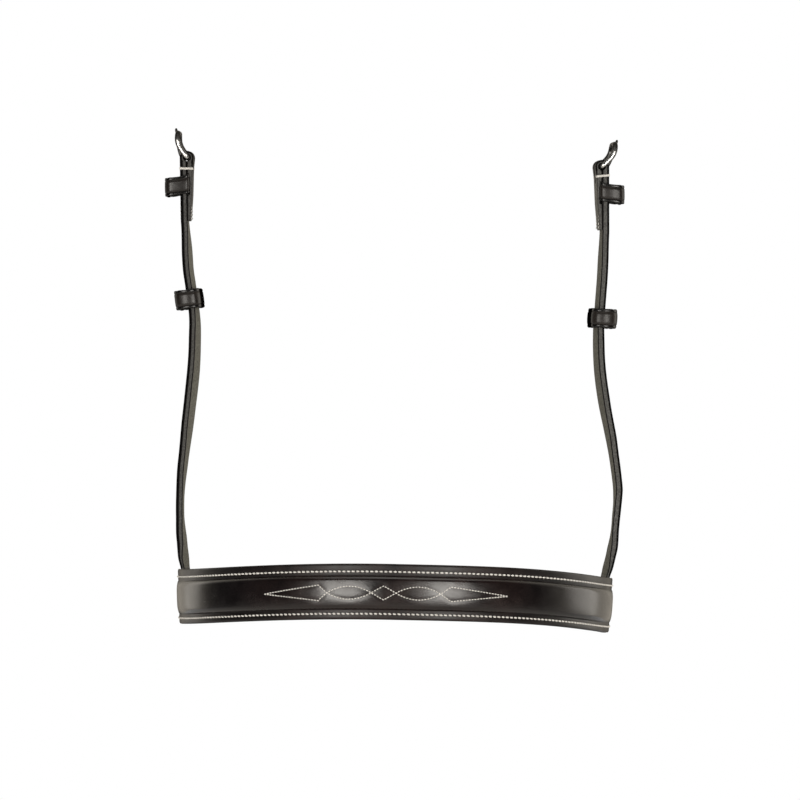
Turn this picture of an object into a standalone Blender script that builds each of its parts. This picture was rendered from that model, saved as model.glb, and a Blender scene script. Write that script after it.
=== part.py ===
"""A raised, fancy-stitched leather noseband with two hanger straps and a buckled rear closure.

The band curves round the nose as a hoop and is built in layers: a lining, a raised core and a face
leather moulded over it. A hanger strap is sewn between face and lining on each cheek and is turned
back round the bar of a buckle. A chape with the rear buckle and a billet with punched holes are sewn
into the two rear ends, and are shown unfastened.

Metres, +Z up, the wearer's face behind the band. The origin is the middle of the lining's inner face,
where the band rests on the nose, and -Y is the front of the band. Left and right in the names are as
seen from the front: left is -X, right is +X.
"""
from math import atan2, cos, pi, radians, sin

import bmesh
import bpy
from mathutils import Matrix, Vector

MM = 0.001
UP = Vector((0.0, 0.0, 1.0))
LEFT_SIDE = -1.0
RIGHT_SIDE = 1.0

# The hoop that the lining's inner face follows
HOOP_HALF_WIDTH = 111.9 * MM
HOOP_FRONT_DEPTH = 93.0 * MM
HOOP_REAR_DEPTH = 74.0 * MM
HOOP_REAR_FLAT_SHARE = 0.215
HOOP_DROOP = 7.0 * MM
HOOP_LIFT = 1.3 * MM
HOOP_REAR_RISE_SHARE = 0.4
HOOP_LEAN = radians(3.0)

# The band
BAND_LENGTH = 400.0 * MM
BAND_WIDTH = 29.0 * MM
BAND_END_WIDTH = 20.0 * MM
BAND_TAPER = 42.0 * MM
BAND_SEGMENTS = 61
LINING_THICKNESS = 1.5 * MM
FACE_THICKNESS = 1.3 * MM
BAND_MARGIN = 5.6 * MM
RAISE_HEIGHT = 2.6 * MM
RAISE_SIDE_HEIGHT = 1.0 * MM
RAISE_SHOULDER = 1.5 * MM
RAISE_CROWN = 5.0 * MM
RAISE_FRONT_REACH = 105.0 * MM
RAISE_SIDE_START = 152.0 * MM
CORE_END_SETBACK = 24.0 * MM
RAISE_FADE = 8.0 * MM
LAYER_GAP = 0.3 * MM
EDGE_ROUND = 0.45 * MM
EDGE_THICKNESS_SHARE = 0.6
EDGE_WIDTH_SHARE = 0.4
SHOULDER_MIDDLE_SHARE = 0.7
SHOULDER_TOP_SHARE = 0.93
CORE_MIDDLE_SHARE = 0.6
CORE_TOP_SHARE = 0.9

# The straps sewn into the band
STRAP_WIDTH = 16.0 * MM
STRAP_THICKNESS = 3.7 * MM
SEWN_THICKNESS = 2.2 * MM
SEWN_CURVE_ROOM = 0.45 * MM
SEWN_REACH = 20.0 * MM
LINING_RAMP = 9.0 * MM
LINING_FLAT_SHARE = 0.25
LINING_END_SHARE = 1.5
SKIVE_LENGTH = 16.0 * MM

# The hangers
HANGER_ANGLE = radians(96.0)
HANGER_REACH = 218.6 * MM
HANGER_STEPS = 40
# Height above the band and distance outward of the strap's outer face, as shares of HANGER_REACH
LEFT_ROUTE_SHARES = (
    (0.0, 0.0), (0.06, 0.0122), (0.132, 0.0192), (0.217, 0.018), (0.342, 0.0064), (0.48, -0.0062),
    (0.566, -0.0081), (0.618, -0.0059), (0.689, 0.005), (0.73, 0.0117), (0.791, 0.0168), (0.846, 0.0221),
)
RIGHT_ROUTE_SHARES = (
    (0.0, 0.0), (0.072, 0.0203), (0.15, 0.0275), (0.196, 0.0302), (0.235, 0.0281), (0.33, 0.0129),
    (0.427, -0.0077), (0.515, -0.0209), (0.605, -0.025), (0.664, -0.0225), (0.729, -0.0189),
    (0.786, -0.0173), (0.839, -0.0158),
)
LEFT_TOP_LEAN = radians(2.2)
RIGHT_TOP_LEAN = radians(-1.3)
# Degrees that the inner face turns to the front, by height as a share of HANGER_REACH
LEFT_TWIST_SHARES = (
    (0.0, 14.0), (0.07, 6.0), (0.13, 1.5), (0.17, 1.5), (0.265, 6.0), (0.372, 10.5), (0.46, 11.5),
    (0.558, 10.0), (0.64, 7.0), (0.76, 7.0), (0.843, 1.5), (1.0, 1.5),
)
RIGHT_TWIST_SHARES = (
    (0.0, 12.0), (0.06, 6.0), (0.12, 0.5), (0.17, 1.5), (0.22, 4.5), (0.286, 5.0), (0.36, 8.0),
    (0.45, 10.0), (0.56, 9.0), (0.64, 7.0), (0.76, 7.0), (0.837, 4.5), (1.0, 4.5),
)

# The turned-back ends
BAR_RADIUS = 1.4 * MM
FOLD_THICKNESS = 2.35 * MM
TAIL_THICKNESS = 1.6 * MM
TAIL_LENGTH = 33.5 * MM
TAIL_SETTLE = 3.5 * MM
TAIL_END_THICKNESS = 1.0 * MM
FOLD_NECK = 5.6 * MM
FOLD_STEPS = 10
SLOT_WIDTH = 3.6 * MM
SLOT_REACH = 9.0 * MM

# Keepers and runners
KEEPER_WIDTH = 9.8 * MM
KEEPER_THICKNESS = 1.8 * MM
KEEPER_END_THICKNESS = 0.8 * MM
KEEPER_END_GAP = 2.0 * MM
KEEPER_SETBACK = 15.0 * MM
KEEPER_ROOM = 6.3 * MM
KEEPER_CORNER = 2.4 * MM
KEEPER_FOOT_CORNER = 1.0 * MM
RUNNER_OUTER_ROOM = 5.6 * MM
RUNNER_INNER_ROOM = 2.2 * MM
RUNNER_SIDE_ROOM = 0.9 * MM
LEFT_RUNNER_SHARE = 0.657
RIGHT_RUNNER_SHARE = 0.63
CORNER_STEPS = 4
SEWN_FOOT_POINTS = 3

# Buckles
WIRE_RADIUS = 1.45 * MM
FRAME_SIDE_ROOM = 0.5 * MM
FRAME_LENGTH = 14.0 * MM
FRAME_BOW = 1.7 * MM
FRAME_BOW_POWER = 1.3
FRAME_CORNER = 4.2 * MM
FRAME_SIDE_SHARES = (0.35, 0.5)
BAR_CORNER = 1.6 * MM
NOTCH_RADIUS = 0.75 * MM
NOTCH_HALF_WIDTH = 1.9 * MM
NOTCH_SHOULDER = 0.8 * MM
TONGUE_RADIUS = 1.05 * MM
TONGUE_TIP_RADIUS = 0.7 * MM
TONGUE_GAP = 0.25 * MM
TONGUE_ARCH = 0.2 * MM
TONGUE_OVERHANG = 2.6 * MM
TONGUE_TIP_DROP = 0.9 * MM
TONGUE_RISE_SHARE = 0.3
TONGUE_REACH_SHARE = 0.7
TIP_START_SHARE = 0.6
TIP_DROP_SHARE = 0.5
TIP_ROUND_SHARE = 0.6
HOOK_TURN = radians(258.0)
HOOK_STEPS = 14
LEFT_BUCKLE_LEAN = radians(19.7)
RIGHT_BUCKLE_LEAN = radians(31.0)
REAR_BUCKLE_LEAN = radians(8.0)

# The rear closure
CHAPE_LEAD = 20.0 * MM
CHAPE_BEND_RADIUS = 78.0 * MM
CHAPE_BEND_STEPS = 14
CHAPE_STRAIGHT = 66.0 * MM
REAR_RUNNER_SETBACK = 47.0 * MM
BILLET_END_ANGLE = radians(209.0)
BILLET_STEPS = 44
BILLET_POINT = 13.0 * MM
BILLET_TIP_WIDTH = 4.0 * MM
HOLE_COUNT = 6
HOLE_PITCH = 20.0 * MM
HOLE_RADIUS = 1.9 * MM
FIRST_HOLE = 42.0 * MM
HOLE_SIDES = 12
CUT_OVERRUN = 3.0 * MM

ARC_STEP = radians(0.25)
ARC_COUNT = 960
TANGENT_STEP = radians(0.05)
SHARP_ANGLE = radians(40.0)
RING_CORNERS = 8

BLACK_LEATHER = (0.018, 0.014, 0.013)
STRAP_LEATHER = (0.022, 0.017, 0.015)
LINING_COLOUR = (0.030, 0.022, 0.018)
CORE_COLOUR = (0.16, 0.09, 0.05)
STEEL = (0.74, 0.74, 0.72)


def clear_scene():
    """Remove every object that the file opened with."""
    for obj in list(bpy.data.objects):
        bpy.data.objects.remove(obj, do_unlink=True)


def material(name, colour, roughness, metallic):
    """A plain Principled material."""
    made = bpy.data.materials.new(name)
    made.use_nodes = True
    shader = made.node_tree.nodes["Principled BSDF"]
    shader.inputs["Base Color"].default_value = (*colour, 1.0)
    shader.inputs["Roughness"].default_value = roughness
    shader.inputs["Metallic"].default_value = metallic
    made.diffuse_color = (*colour, 1.0)
    return made


def smoothstep(value):
    """Ease from 0 to 1 as value goes from 0 to 1."""
    value = min(1.0, max(0.0, value))
    return value * value * (3.0 - 2.0 * value)


def between(table, share):
    """Read an eased value from a table of (share, value) pairs."""
    for (low, first), (high, second) in zip(table, table[1:]):
        if share <= high:
            return first + (second - first) * smoothstep((share - low) / (high - low))
    return table[-1][1]


def spline(points, count):
    """Points along a Catmull-Rom curve through the given ones, evenly spread over its spans."""
    ends = [points[0] * 2 - points[1], *points, points[-1] * 2 - points[-2]]
    spans = len(points) - 1
    route = []
    for step in range(count + 1):
        place = spans * step / count
        index = min(int(place), spans - 1)
        f = place - index
        a, b, c, d = ends[index:index + 4]
        square = (2 * a - 5 * b + 4 * c - d) * f ** 2
        cube = (3 * b - a - 3 * c + d) * f ** 3
        route.append((2 * b + (c - a) * f + square + cube) / 2)
    return route


# The hoop


def hoop_plan(angle):
    """The hoop seen from above: half an ellipse in front of its widest line, a flatter one behind it."""
    back = -cos(angle)
    depth = HOOP_FRONT_DEPTH * back
    if abs(angle) > pi / 2:
        depth = HOOP_REAR_DEPTH * back * (1.0 - HOOP_REAR_FLAT_SHARE * back ** 2)
    return Vector((HOOP_HALF_WIDTH * sin(angle), HOOP_FRONT_DEPTH + depth, 0.0))


def arc_table():
    """Distance round the hoop from the middle of the front, for a fine series of angles."""
    table = [(0.0, 0.0)]
    place = hoop_plan(0.0)
    for count in range(1, ARC_COUNT + 1):
        following = hoop_plan(ARC_STEP * count)
        table.append((table[-1][0] + (following - place).length, ARC_STEP * count))
        place = following
    return table


ARC_TABLE = arc_table()


def angle_at(distance):
    """The hoop's angle at a distance round it from the middle of the front."""
    size = abs(distance)
    for (low, first), (high, second) in zip(ARC_TABLE, ARC_TABLE[1:]):
        if size <= high:
            found = first + (second - first) * (size - low) / (high - low)
            return found if distance >= 0 else -found
    raise ValueError("the hoop is shorter than this distance")


def distance_at(angle):
    """The distance round the hoop at which an angle is reached."""
    for (low, first), (high, second) in zip(ARC_TABLE, ARC_TABLE[1:]):
        if angle <= second:
            return low + (high - low) * (angle - first) / (second - first)
    raise ValueError("the hoop ends before this angle")


NOSE_FLAT = hoop_plan(angle_at(BAND_LENGTH / BAND_SEGMENTS / 2)).y


class HoopFrame:
    """A place on the hoop: its point, its tangent, its outward normal and its upward direction."""

    def __init__(self, angle):
        sine = sin(angle) ** 2
        fall = sine if abs(angle) <= pi / 2 else 1.0 - HOOP_REAR_RISE_SHARE * (1.0 - sine)
        lift = sin(2.0 * angle) ** 2 if 0.0 < angle < pi / 2 else 0.0
        self.point = hoop_plan(angle) - Vector((0.0, NOSE_FLAT, HOOP_DROOP * fall - HOOP_LIFT * lift))
        self.tangent = (hoop_plan(angle + TANGENT_STEP) - hoop_plan(angle - TANGENT_STEP)).normalized()
        flat_normal = self.tangent.cross(UP)
        lean = HOOP_LEAN * sine
        self.up = UP * cos(lean) + flat_normal * sin(lean)
        self.normal = flat_normal * cos(lean) - UP * sin(lean)

    def place(self, outward, height):
        """A point at a distance outward from the lining's inner face and a height above its middle."""
        return self.point + self.normal * outward + self.up * height


FACE_BACK = LINING_THICKNESS + LAYER_GAP
SEWN_FACE = FACE_BACK - LAYER_GAP
HALF_BAND = BAND_LENGTH / 2
HANGER_DISTANCE = distance_at(HANGER_ANGLE)
LINING_DROP = SEWN_CURVE_ROOM + SEWN_THICKNESS + LAYER_GAP
CORE_END = HALF_BAND - CORE_END_SETBACK


def band_half_width(distance):
    """Half the band's width at a distance round it."""
    taper = smoothstep((abs(distance) - HALF_BAND + BAND_TAPER) / BAND_TAPER)
    return (BAND_WIDTH - (BAND_WIDTH - BAND_END_WIDTH) * taper) / 2


def raise_height(distance):
    """How far the raised middle stands out at a distance round the band."""
    size = abs(distance)
    ease = smoothstep((size - RAISE_FRONT_REACH) / (RAISE_SIDE_START - RAISE_FRONT_REACH))
    height = RAISE_HEIGHT + (RAISE_SIDE_HEIGHT - RAISE_HEIGHT) * ease
    return height * (1.0 - smoothstep((size - CORE_END) / RAISE_FADE))


def lining_drop(distance):
    """How far the lining is pushed inward by the straps sewn in between it and the face."""
    size = abs(distance)
    flat = STRAP_WIDTH / 2 + LINING_RAMP * LINING_FLAT_SHARE
    at_hanger = 1.0 - smoothstep((abs(size - HANGER_DISTANCE) - flat) / LINING_RAMP)
    at_end = smoothstep((size - HALF_BAND + SEWN_REACH + LINING_RAMP * LINING_END_SHARE) / LINING_RAMP)
    return LINING_DROP * max(at_hanger, at_end)


def band_distances(reach):
    """Distances round the band at which its layers have a section, the same for every layer."""
    pitch = BAND_LENGTH / BAND_SEGMENTS
    places = [-HALF_BAND + pitch * count for count in range(BAND_SEGMENTS + 1)]
    return [place for place in places if abs(place) <= reach + LAYER_GAP]


# Solids


def add_object(name, verts, faces, finish, origin):
    """Make an object from points in world space, with its origin where it is given."""
    mesh = bpy.data.meshes.new(name)
    mesh.from_pydata([vert - origin for vert in verts], [], faces)
    work = bmesh.new()
    work.from_mesh(mesh)
    bmesh.ops.recalc_face_normals(work, faces=work.faces)
    work.to_mesh(mesh)
    work.free()
    mesh.materials.append(finish)
    mesh.shade_smooth()
    mesh.set_sharp_from_angle(angle=SHARP_ANGLE)
    obj = bpy.data.objects.new(name, mesh)
    obj.location = origin
    bpy.context.scene.collection.objects.link(obj)
    return obj


def loft(name, rings, finish, origin=Vector((0.0, 0.0, 0.0)), closed=False):
    """Join equal rings of points into one closed body, capped at its ends or closed into a loop."""
    size = len(rings[0])
    verts = [point for ring in rings for point in ring]
    faces = []
    spans = len(rings) if closed else len(rings) - 1
    for index in range(spans):
        near = index * size
        far = ((index + 1) % len(rings)) * size
        for corner in range(size):
            following = (corner + 1) % size
            faces.append((near + corner, near + following, far + following, far + corner))
    if not closed:
        faces.append(tuple(reversed(range(size))))
        faces.append(tuple(range(len(verts) - size, len(verts))))
    return add_object(name, verts, faces, finish, origin)


def strip_ring(outer, inner, across, half_width):
    """An eight-sided section of a leather strip, with its edges taken off."""
    middle = (outer + inner) / 2
    thick = outer - inner
    half = thick.length / 2
    out = thick.normalized()
    side = (across - out * across.dot(out)).normalized()
    taken = min(EDGE_ROUND, half * EDGE_THICKNESS_SHARE, half_width * EDGE_WIDTH_SHARE)
    flat = half_width - taken
    rise = half - taken
    corners = (
        (flat, half), (half_width, rise), (half_width, -rise), (flat, -half),
        (-flat, -half), (-half_width, -rise), (-half_width, rise), (-flat, half),
    )
    return [middle + side * u + out * v for u, v in corners]


def wire_rings(path, radii, side, closed=False):
    """Round sections along a path, with side giving the direction that each one starts from."""
    rings = []
    count = len(path)
    turn = [pi * (2 * corner + 1) / RING_CORNERS for corner in range(RING_CORNERS)]
    for index, point in enumerate(path):
        before = path[index - 1] if closed or index else point
        after = path[(index + 1) % count] if closed or index < count - 1 else point
        ahead = (after - before).normalized()
        first = (side - ahead * side.dot(ahead)).normalized()
        second = ahead.cross(first)
        radius = radii[index]
        rings.append([point + (first * cos(angle) + second * sin(angle)) * radius for angle in turn])
    return rings


def rounded_path(corners, radius, steps, closed):
    """A path through corner points with each inner corner turned into an arc."""
    path = []
    count = len(corners)
    for index, corner in enumerate(corners):
        if not closed and index in (0, count - 1):
            path.append(corner)
            continue
        back = (corners[index - 1] - corner).normalized()
        ahead = (corners[(index + 1) % count] - corner).normalized()
        half_turn = back.angle(ahead) / 2
        reach = radius * cos(half_turn) / sin(half_turn)
        centre = corner + (back + ahead).normalized() * (radius / sin(half_turn))
        start = corner + back * reach - centre
        end = corner + ahead * reach - centre
        sweep = start.angle(end)
        axis = start.cross(end).normalized()
        for step in range(steps + 1):
            path.append(centre + Matrix.Rotation(sweep * step / steps, 3, axis) @ start)
    return path


# The band's layers


def face_section(distance):
    """The face leather's section: thin margins, and a raised middle that is hollow behind."""
    frame = HoopFrame(angle_at(distance))
    half = band_half_width(distance)
    crease = half - BAND_MARGIN
    height = raise_height(distance)
    front = FACE_BACK + FACE_THICKNESS
    inset = crease - LAYER_GAP
    middle_height = height * SHOULDER_MIDDLE_SHARE
    top_height = height * SHOULDER_TOP_SHARE
    outer = [
        (FACE_BACK + FACE_THICKNESS / 2, half), (front, half - EDGE_ROUND), (front, crease),
        (front + middle_height, crease - RAISE_SHOULDER / 2), (front + top_height, crease - RAISE_SHOULDER),
        (front + height, crease - RAISE_CROWN),
    ]
    inner = [
        (FACE_BACK + top_height, inset - RAISE_SHOULDER),
        (FACE_BACK + middle_height, inset - RAISE_SHOULDER / 2),
        (FACE_BACK, inset), (FACE_BACK, half),
    ]
    profile = outer + [(n, -w) for n, w in reversed(outer)]
    profile += [(n, -w) for n, w in reversed(inner)] + inner
    return [frame.place(n, w) for n, w in profile]


def core_section(distance):
    """The core's section: it fills the hollow behind the face and is flat against the lining."""
    frame = HoopFrame(angle_at(distance))
    inset = band_half_width(distance) - BAND_MARGIN - LAYER_GAP * 2
    height = raise_height(distance) - LAYER_GAP
    reach = inset - LAYER_GAP
    side = [
        (FACE_BACK, reach), (FACE_BACK + height * CORE_MIDDLE_SHARE, reach - RAISE_SHOULDER / 2),
        (FACE_BACK + height * CORE_TOP_SHARE, reach - RAISE_SHOULDER),
    ]
    profile = side + [(n, -w) for n, w in reversed(side)]
    return [frame.place(n, w) for n, w in profile]


def lining_section(distance):
    """The lining's section, pushed inward where a strap is sewn in."""
    frame = HoopFrame(angle_at(distance))
    half = band_half_width(distance)
    drop = lining_drop(distance)
    middle = frame.place(LINING_THICKNESS - drop, 0.0)
    return strip_ring(middle, frame.place(-drop, 0.0), frame.up, half)


def make_band(finishes):
    """The three layers of the band."""
    full = band_distances(HALF_BAND)
    loft("face_leather", [face_section(d) for d in full], finishes["face"])
    loft("raised_core", [core_section(d) for d in band_distances(CORE_END)], finishes["core"])
    loft("lining_leather", [lining_section(d) for d in full], finishes["lining"])


# Turned-back strap ends


def skived_thickness(distance):
    """A strap's thickness at a distance from the band: it is skived where it goes in."""
    return SEWN_THICKNESS + (STRAP_THICKNESS - SEWN_THICKNESS) * smoothstep(distance / SKIVE_LENGTH)


class StrapEnd:
    """Where a strap ends at a buckle: the bar's centre and the directions along, outward and across."""

    def __init__(self, face_point, along, outward, side):
        self.along = along.normalized()
        self.outward = (outward - self.along * outward.dot(self.along)).normalized()
        self.across = self.along.cross(self.outward) * side
        self.bar = face_point - self.outward * FOLD_OUTER_RADIUS

    def place(self, outward, along):
        """A point outward from the bar's axis and along the strap from it."""
        return self.bar + self.outward * outward + self.along * along


FOLD_INNER_RADIUS = BAR_RADIUS + LAYER_GAP
FOLD_OUTER_RADIUS = FOLD_INNER_RADIUS + FOLD_THICKNESS
SEAM = FOLD_OUTER_RADIUS - STRAP_THICKNESS
KEEPER_SEAM_TOP = SEAM - LAYER_GAP
KEEPER_SEAM_BACK = KEEPER_SEAM_TOP - KEEPER_END_THICKNESS
KEEPER_NEAR = KEEPER_SETBACK - KEEPER_WIDTH / 2
KEEPER_FAR = KEEPER_SETBACK + KEEPER_WIDTH / 2


def fold_pairs(end):
    """Outer and inner points of the strap from below the keeper, round the bar and back down the tail."""
    pairs = [
        (end.place(FOLD_OUTER_RADIUS, -FOLD_NECK), end.place(SEAM, -FOLD_NECK)),
    ]
    for step in range(FOLD_STEPS + 1):
        angle = pi * step / FOLD_STEPS
        direction = end.outward * cos(angle) + end.along * sin(angle)
        pairs.append((end.bar + direction * FOLD_OUTER_RADIUS, end.bar + direction * FOLD_INNER_RADIUS))
    behind_keeper = KEEPER_SEAM_BACK - LAYER_GAP
    on_strap = SEAM - LAYER_GAP
    tail = (
        (FOLD_NECK, behind_keeper, TAIL_THICKNESS),
        (KEEPER_NEAR - LAYER_GAP, behind_keeper, TAIL_THICKNESS),
        (KEEPER_FAR + LAYER_GAP, behind_keeper, TAIL_THICKNESS),
        (KEEPER_FAR + TAIL_SETTLE, on_strap, TAIL_THICKNESS),
        (TAIL_LENGTH - TAIL_SETTLE, on_strap, TAIL_THICKNESS),
        (TAIL_LENGTH, on_strap, TAIL_END_THICKNESS),
    )
    for down, inner, thickness in tail:
        pairs.append((end.place(inner - thickness, -down), end.place(inner, -down)))
    return pairs


def cutter_object(name, verts, faces):
    """A hidden cutter for a Boolean."""
    cutter = add_object(name, verts, faces, bpy.data.materials["leather"], Vector((0.0, 0.0, 0.0)))
    cutter.display_type = "WIRE"
    cutter.hide_render = True
    return cutter


def prism_faces(size):
    """The faces of a prism with a number of sides, near end first."""
    faces = [tuple(range(size)), tuple(reversed(range(size, 2 * size)))]
    for corner in range(size):
        following = (corner + 1) % size
        faces.append((corner, following, size + following, size + corner))
    return faces


def cut(obj, cutter):
    """Cut one object with another."""
    boolean = obj.modifiers.new(cutter.name, "BOOLEAN")
    boolean.operation = "DIFFERENCE"
    boolean.solver = "EXACT"
    boolean.object = cutter


def cut_tongue_slot(strap, end):
    """Cut the slot through the fold in which the tongue swings."""
    half = SLOT_WIDTH / 2
    reach = FOLD_OUTER_RADIUS + CUT_OVERRUN
    outline = [(half, reach), (-half, reach)]
    for step in range(HOLE_SIDES // 2 + 1):
        angle = pi + pi * step / (HOLE_SIDES // 2)
        outline.append((half * cos(angle), half - SLOT_REACH + half * sin(angle)))
    near = [end.place(reach, v) + end.across * u for u, v in outline]
    far = [end.place(-reach, v) + end.across * u for u, v in outline]
    cut(strap, cutter_object(strap.name + "_slot_cutter", near + far, prism_faces(len(outline))))


# Keepers and runners


def make_keeper(name, end, finish):
    """A fixed keeper: a strip over the billet's place, with its ends sewn between strap and tail."""
    half = STRAP_WIDTH / 2 + LAYER_GAP + KEEPER_THICKNESS / 2
    turn_in = STRAP_WIDTH / 2 - KEEPER_THICKNESS
    tip = KEEPER_END_GAP / 2
    seam = (KEEPER_SEAM_TOP + KEEPER_SEAM_BACK) / 2
    top = FOLD_OUTER_RADIUS + KEEPER_ROOM + KEEPER_THICKNESS / 2
    centre = end.bar - end.along * KEEPER_SETBACK
    layout = ((tip, seam), (half, seam), (half, top), (-half, top), (-half, seam), (-tip, seam))
    corners = [centre + end.across * u + end.outward * v for u, v in layout]
    radii = (KEEPER_FOOT_CORNER, KEEPER_CORNER, KEEPER_CORNER, KEEPER_FOOT_CORNER)
    path = [corners[0], centre + end.across * turn_in + end.outward * seam]
    for index, radius in enumerate(radii):
        path += rounded_path(corners[index:index + 3], radius, CORNER_STEPS, False)[1:-1]
    path += [centre - end.across * turn_in + end.outward * seam, corners[-1]]
    middle = centre + end.outward * (FOLD_OUTER_RADIUS + KEEPER_ROOM / 2)
    rings = []
    for index, point in enumerate(path):
        before = path[max(index - 1, 0)]
        after = path[min(index + 1, len(path) - 1)]
        out = end.along.cross(after - before).normalized()
        if out.dot(point - middle) < 0:
            out = -out
        sewn = min(index, len(path) - 1 - index) < SEWN_FOOT_POINTS
        if sewn:
            out = -end.outward
        shift = out * ((KEEPER_END_THICKNESS if sewn else KEEPER_THICKNESS) / 2)
        rings.append(strip_ring(point + shift, point - shift, end.along, KEEPER_WIDTH / 2))
    return loft(name, rings, finish)


def make_runner(name, face_point, along, outward, finish):
    """A sliding runner: a closed loop round the strap with room for the billet on its outer side."""
    along = along.normalized()
    outward = (outward - along * outward.dot(along)).normalized()
    across = along.cross(outward)
    half = STRAP_WIDTH / 2 + RUNNER_SIDE_ROOM + KEEPER_THICKNESS / 2
    top = RUNNER_OUTER_ROOM + KEEPER_THICKNESS / 2
    bottom = -STRAP_THICKNESS - RUNNER_INNER_ROOM - KEEPER_THICKNESS / 2
    layout = ((half, bottom), (half, top), (-half, top), (-half, bottom))
    corners = [face_point + across * u + outward * v for u, v in layout]
    path = rounded_path(corners, KEEPER_CORNER, CORNER_STEPS, True)
    middle = face_point + outward * (top + bottom) / 2
    rings = []
    for index, point in enumerate(path):
        out = along.cross(path[(index + 1) % len(path)] - path[index - 1]).normalized()
        if out.dot(point - middle) < 0:
            out = -out
        shift = out * (KEEPER_THICKNESS / 2)
        rings.append(strip_ring(point + shift, point - shift, along, KEEPER_WIDTH / 2))
    return loft(name, rings, finish, middle, closed=True)


# Buckles


def frame_outline():
    """The frame's flat outline from the bar round, as points across it and along it from the bar."""
    half = STRAP_WIDTH / 2 + FRAME_SIDE_ROOM + WIRE_RADIUS
    flat = [
        Vector((half, 0.0, 0.0)), Vector((half, FRAME_LENGTH, 0.0)),
        Vector((-half, FRAME_LENGTH, 0.0)), Vector((-half, 0.0, 0.0)),
    ]
    corners = []
    for index, radius in enumerate((BAR_CORNER, FRAME_CORNER, FRAME_CORNER, BAR_CORNER)):
        trio = [flat[index - 1], flat[index], flat[(index + 1) % len(flat)]]
        corners.append(rounded_path(trio, radius, CORNER_STEPS, False)[1:-1])
    rising = [flat[0].lerp(flat[1], share) for share in FRAME_SIDE_SHARES]
    falling = [flat[3].lerp(flat[2], share) for share in reversed(FRAME_SIDE_SHARES)]
    edge = NOTCH_HALF_WIDTH + NOTCH_SHOULDER
    notch = [Vector((x, FRAME_LENGTH, 0.0)) for x in (edge, NOTCH_HALF_WIDTH, -NOTCH_HALF_WIDTH, -edge)]
    return corners[0] + rising + corners[1] + notch + corners[2] + falling + corners[3]


def frame_radius(place):
    """The frame's wire is thinner at the bar, and thinnest where the tongue rests on the crossbar."""
    if place.y < WIRE_RADIUS:
        return BAR_RADIUS
    if place.y > FRAME_LENGTH / 2 and abs(place.x) < NOTCH_HALF_WIDTH + NOTCH_SHOULDER / 2:
        return NOTCH_RADIUS
    return WIRE_RADIUS


def make_buckle(prefix, end, lean, finish):
    """A buckle on a strap's end: a bowed frame with its bar, and a tongue hooked round the bar."""
    turn = Matrix.Rotation(lean, 3, end.along.cross(end.outward))
    length = turn @ end.along
    face = turn @ end.outward
    outline = frame_outline()
    path = []
    sizes = [frame_radius(place) for place in outline]
    for place, size in zip(outline, sizes):
        share = min(max(place.y / FRAME_LENGTH, 0.0), 1.0)
        bow = FRAME_BOW * sin(pi * share ** FRAME_BOW_POWER)
        sink = WIRE_RADIUS - size if place.y > FRAME_LENGTH / 2 else 0.0
        path.append(end.bar + end.across * place.x + length * place.y + face * (bow - sink))
    rings = wire_rings(path, sizes, face, closed=True)
    frame = loft(prefix + "_buckle_frame", rings, finish, end.bar, closed=True)
    tongue = make_tongue(prefix + "_buckle_tongue", end, length, face, finish)
    tongue.parent = frame
    tongue.matrix_parent_inverse = Matrix.Translation(-end.bar)


def make_tongue(name, end, length, face, finish):
    """The tongue: a hook round the bar, a gently arched stem over the frame's far side, and a tip."""
    ring = BAR_RADIUS + TONGUE_GAP + TONGUE_RADIUS
    over = NOTCH_RADIUS * 2 - WIRE_RADIUS + TONGUE_GAP + TONGUE_TIP_RADIUS
    flat = []
    for step in range(HOOK_STEPS + 1):
        angle = HOOK_TURN * (1.0 - step / HOOK_STEPS)
        flat.append((-sin(angle) * ring, cos(angle) * ring))
    flat += [
        (FRAME_LENGTH * TONGUE_RISE_SHARE, ring + TONGUE_ARCH),
        (FRAME_LENGTH * TONGUE_REACH_SHARE, (over + ring) / 2 + TONGUE_ARCH),
        (FRAME_LENGTH, over),
        (FRAME_LENGTH + TONGUE_OVERHANG * TIP_START_SHARE, over - TONGUE_TIP_DROP * TIP_DROP_SHARE),
        (FRAME_LENGTH + TONGUE_OVERHANG, over - TONGUE_TIP_DROP),
    ]
    path = [end.bar + length * v + face * q for v, q in flat]
    stem = [TONGUE_RADIUS] * (len(path) - 3)
    sizes = stem + [TONGUE_TIP_RADIUS, TONGUE_TIP_RADIUS, TONGUE_TIP_RADIUS * TIP_ROUND_SHARE]
    return loft(name, wire_rings(path, sizes, end.across), finish, end.bar)


# The hangers


def hanger_route(side, shares, top_lean):
    """The outer face's middle line above the band, and the point at the bar's height."""
    frame = HoopFrame(HANGER_ANGLE * side)
    base = frame.place(SEWN_FACE - SEWN_CURVE_ROOM, BAND_WIDTH / 2)
    outward = Vector((side, 0.0, 0.0))
    points = [base + outward * (out * HANGER_REACH) + UP * (up * HANGER_REACH) for up, out in shares]
    curve = spline(points, HANGER_STEPS)
    last = curve[-1]
    rise = base.z + HANGER_REACH - last.z
    top = last + UP * rise + outward * (rise * sin(top_lean) / cos(top_lean))
    return frame, base, curve, top


def hanger_station(side, twist_shares, base, point, ahead):
    """Outward direction and width direction at a point of the hanger's outer face."""
    twist = radians(between(twist_shares, (point.z - base.z) / HANGER_REACH))
    outward = Vector((side * cos(twist), sin(twist), 0.0))
    outward = (outward - ahead * outward.dot(ahead)).normalized()
    return outward, ahead.cross(outward)


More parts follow.
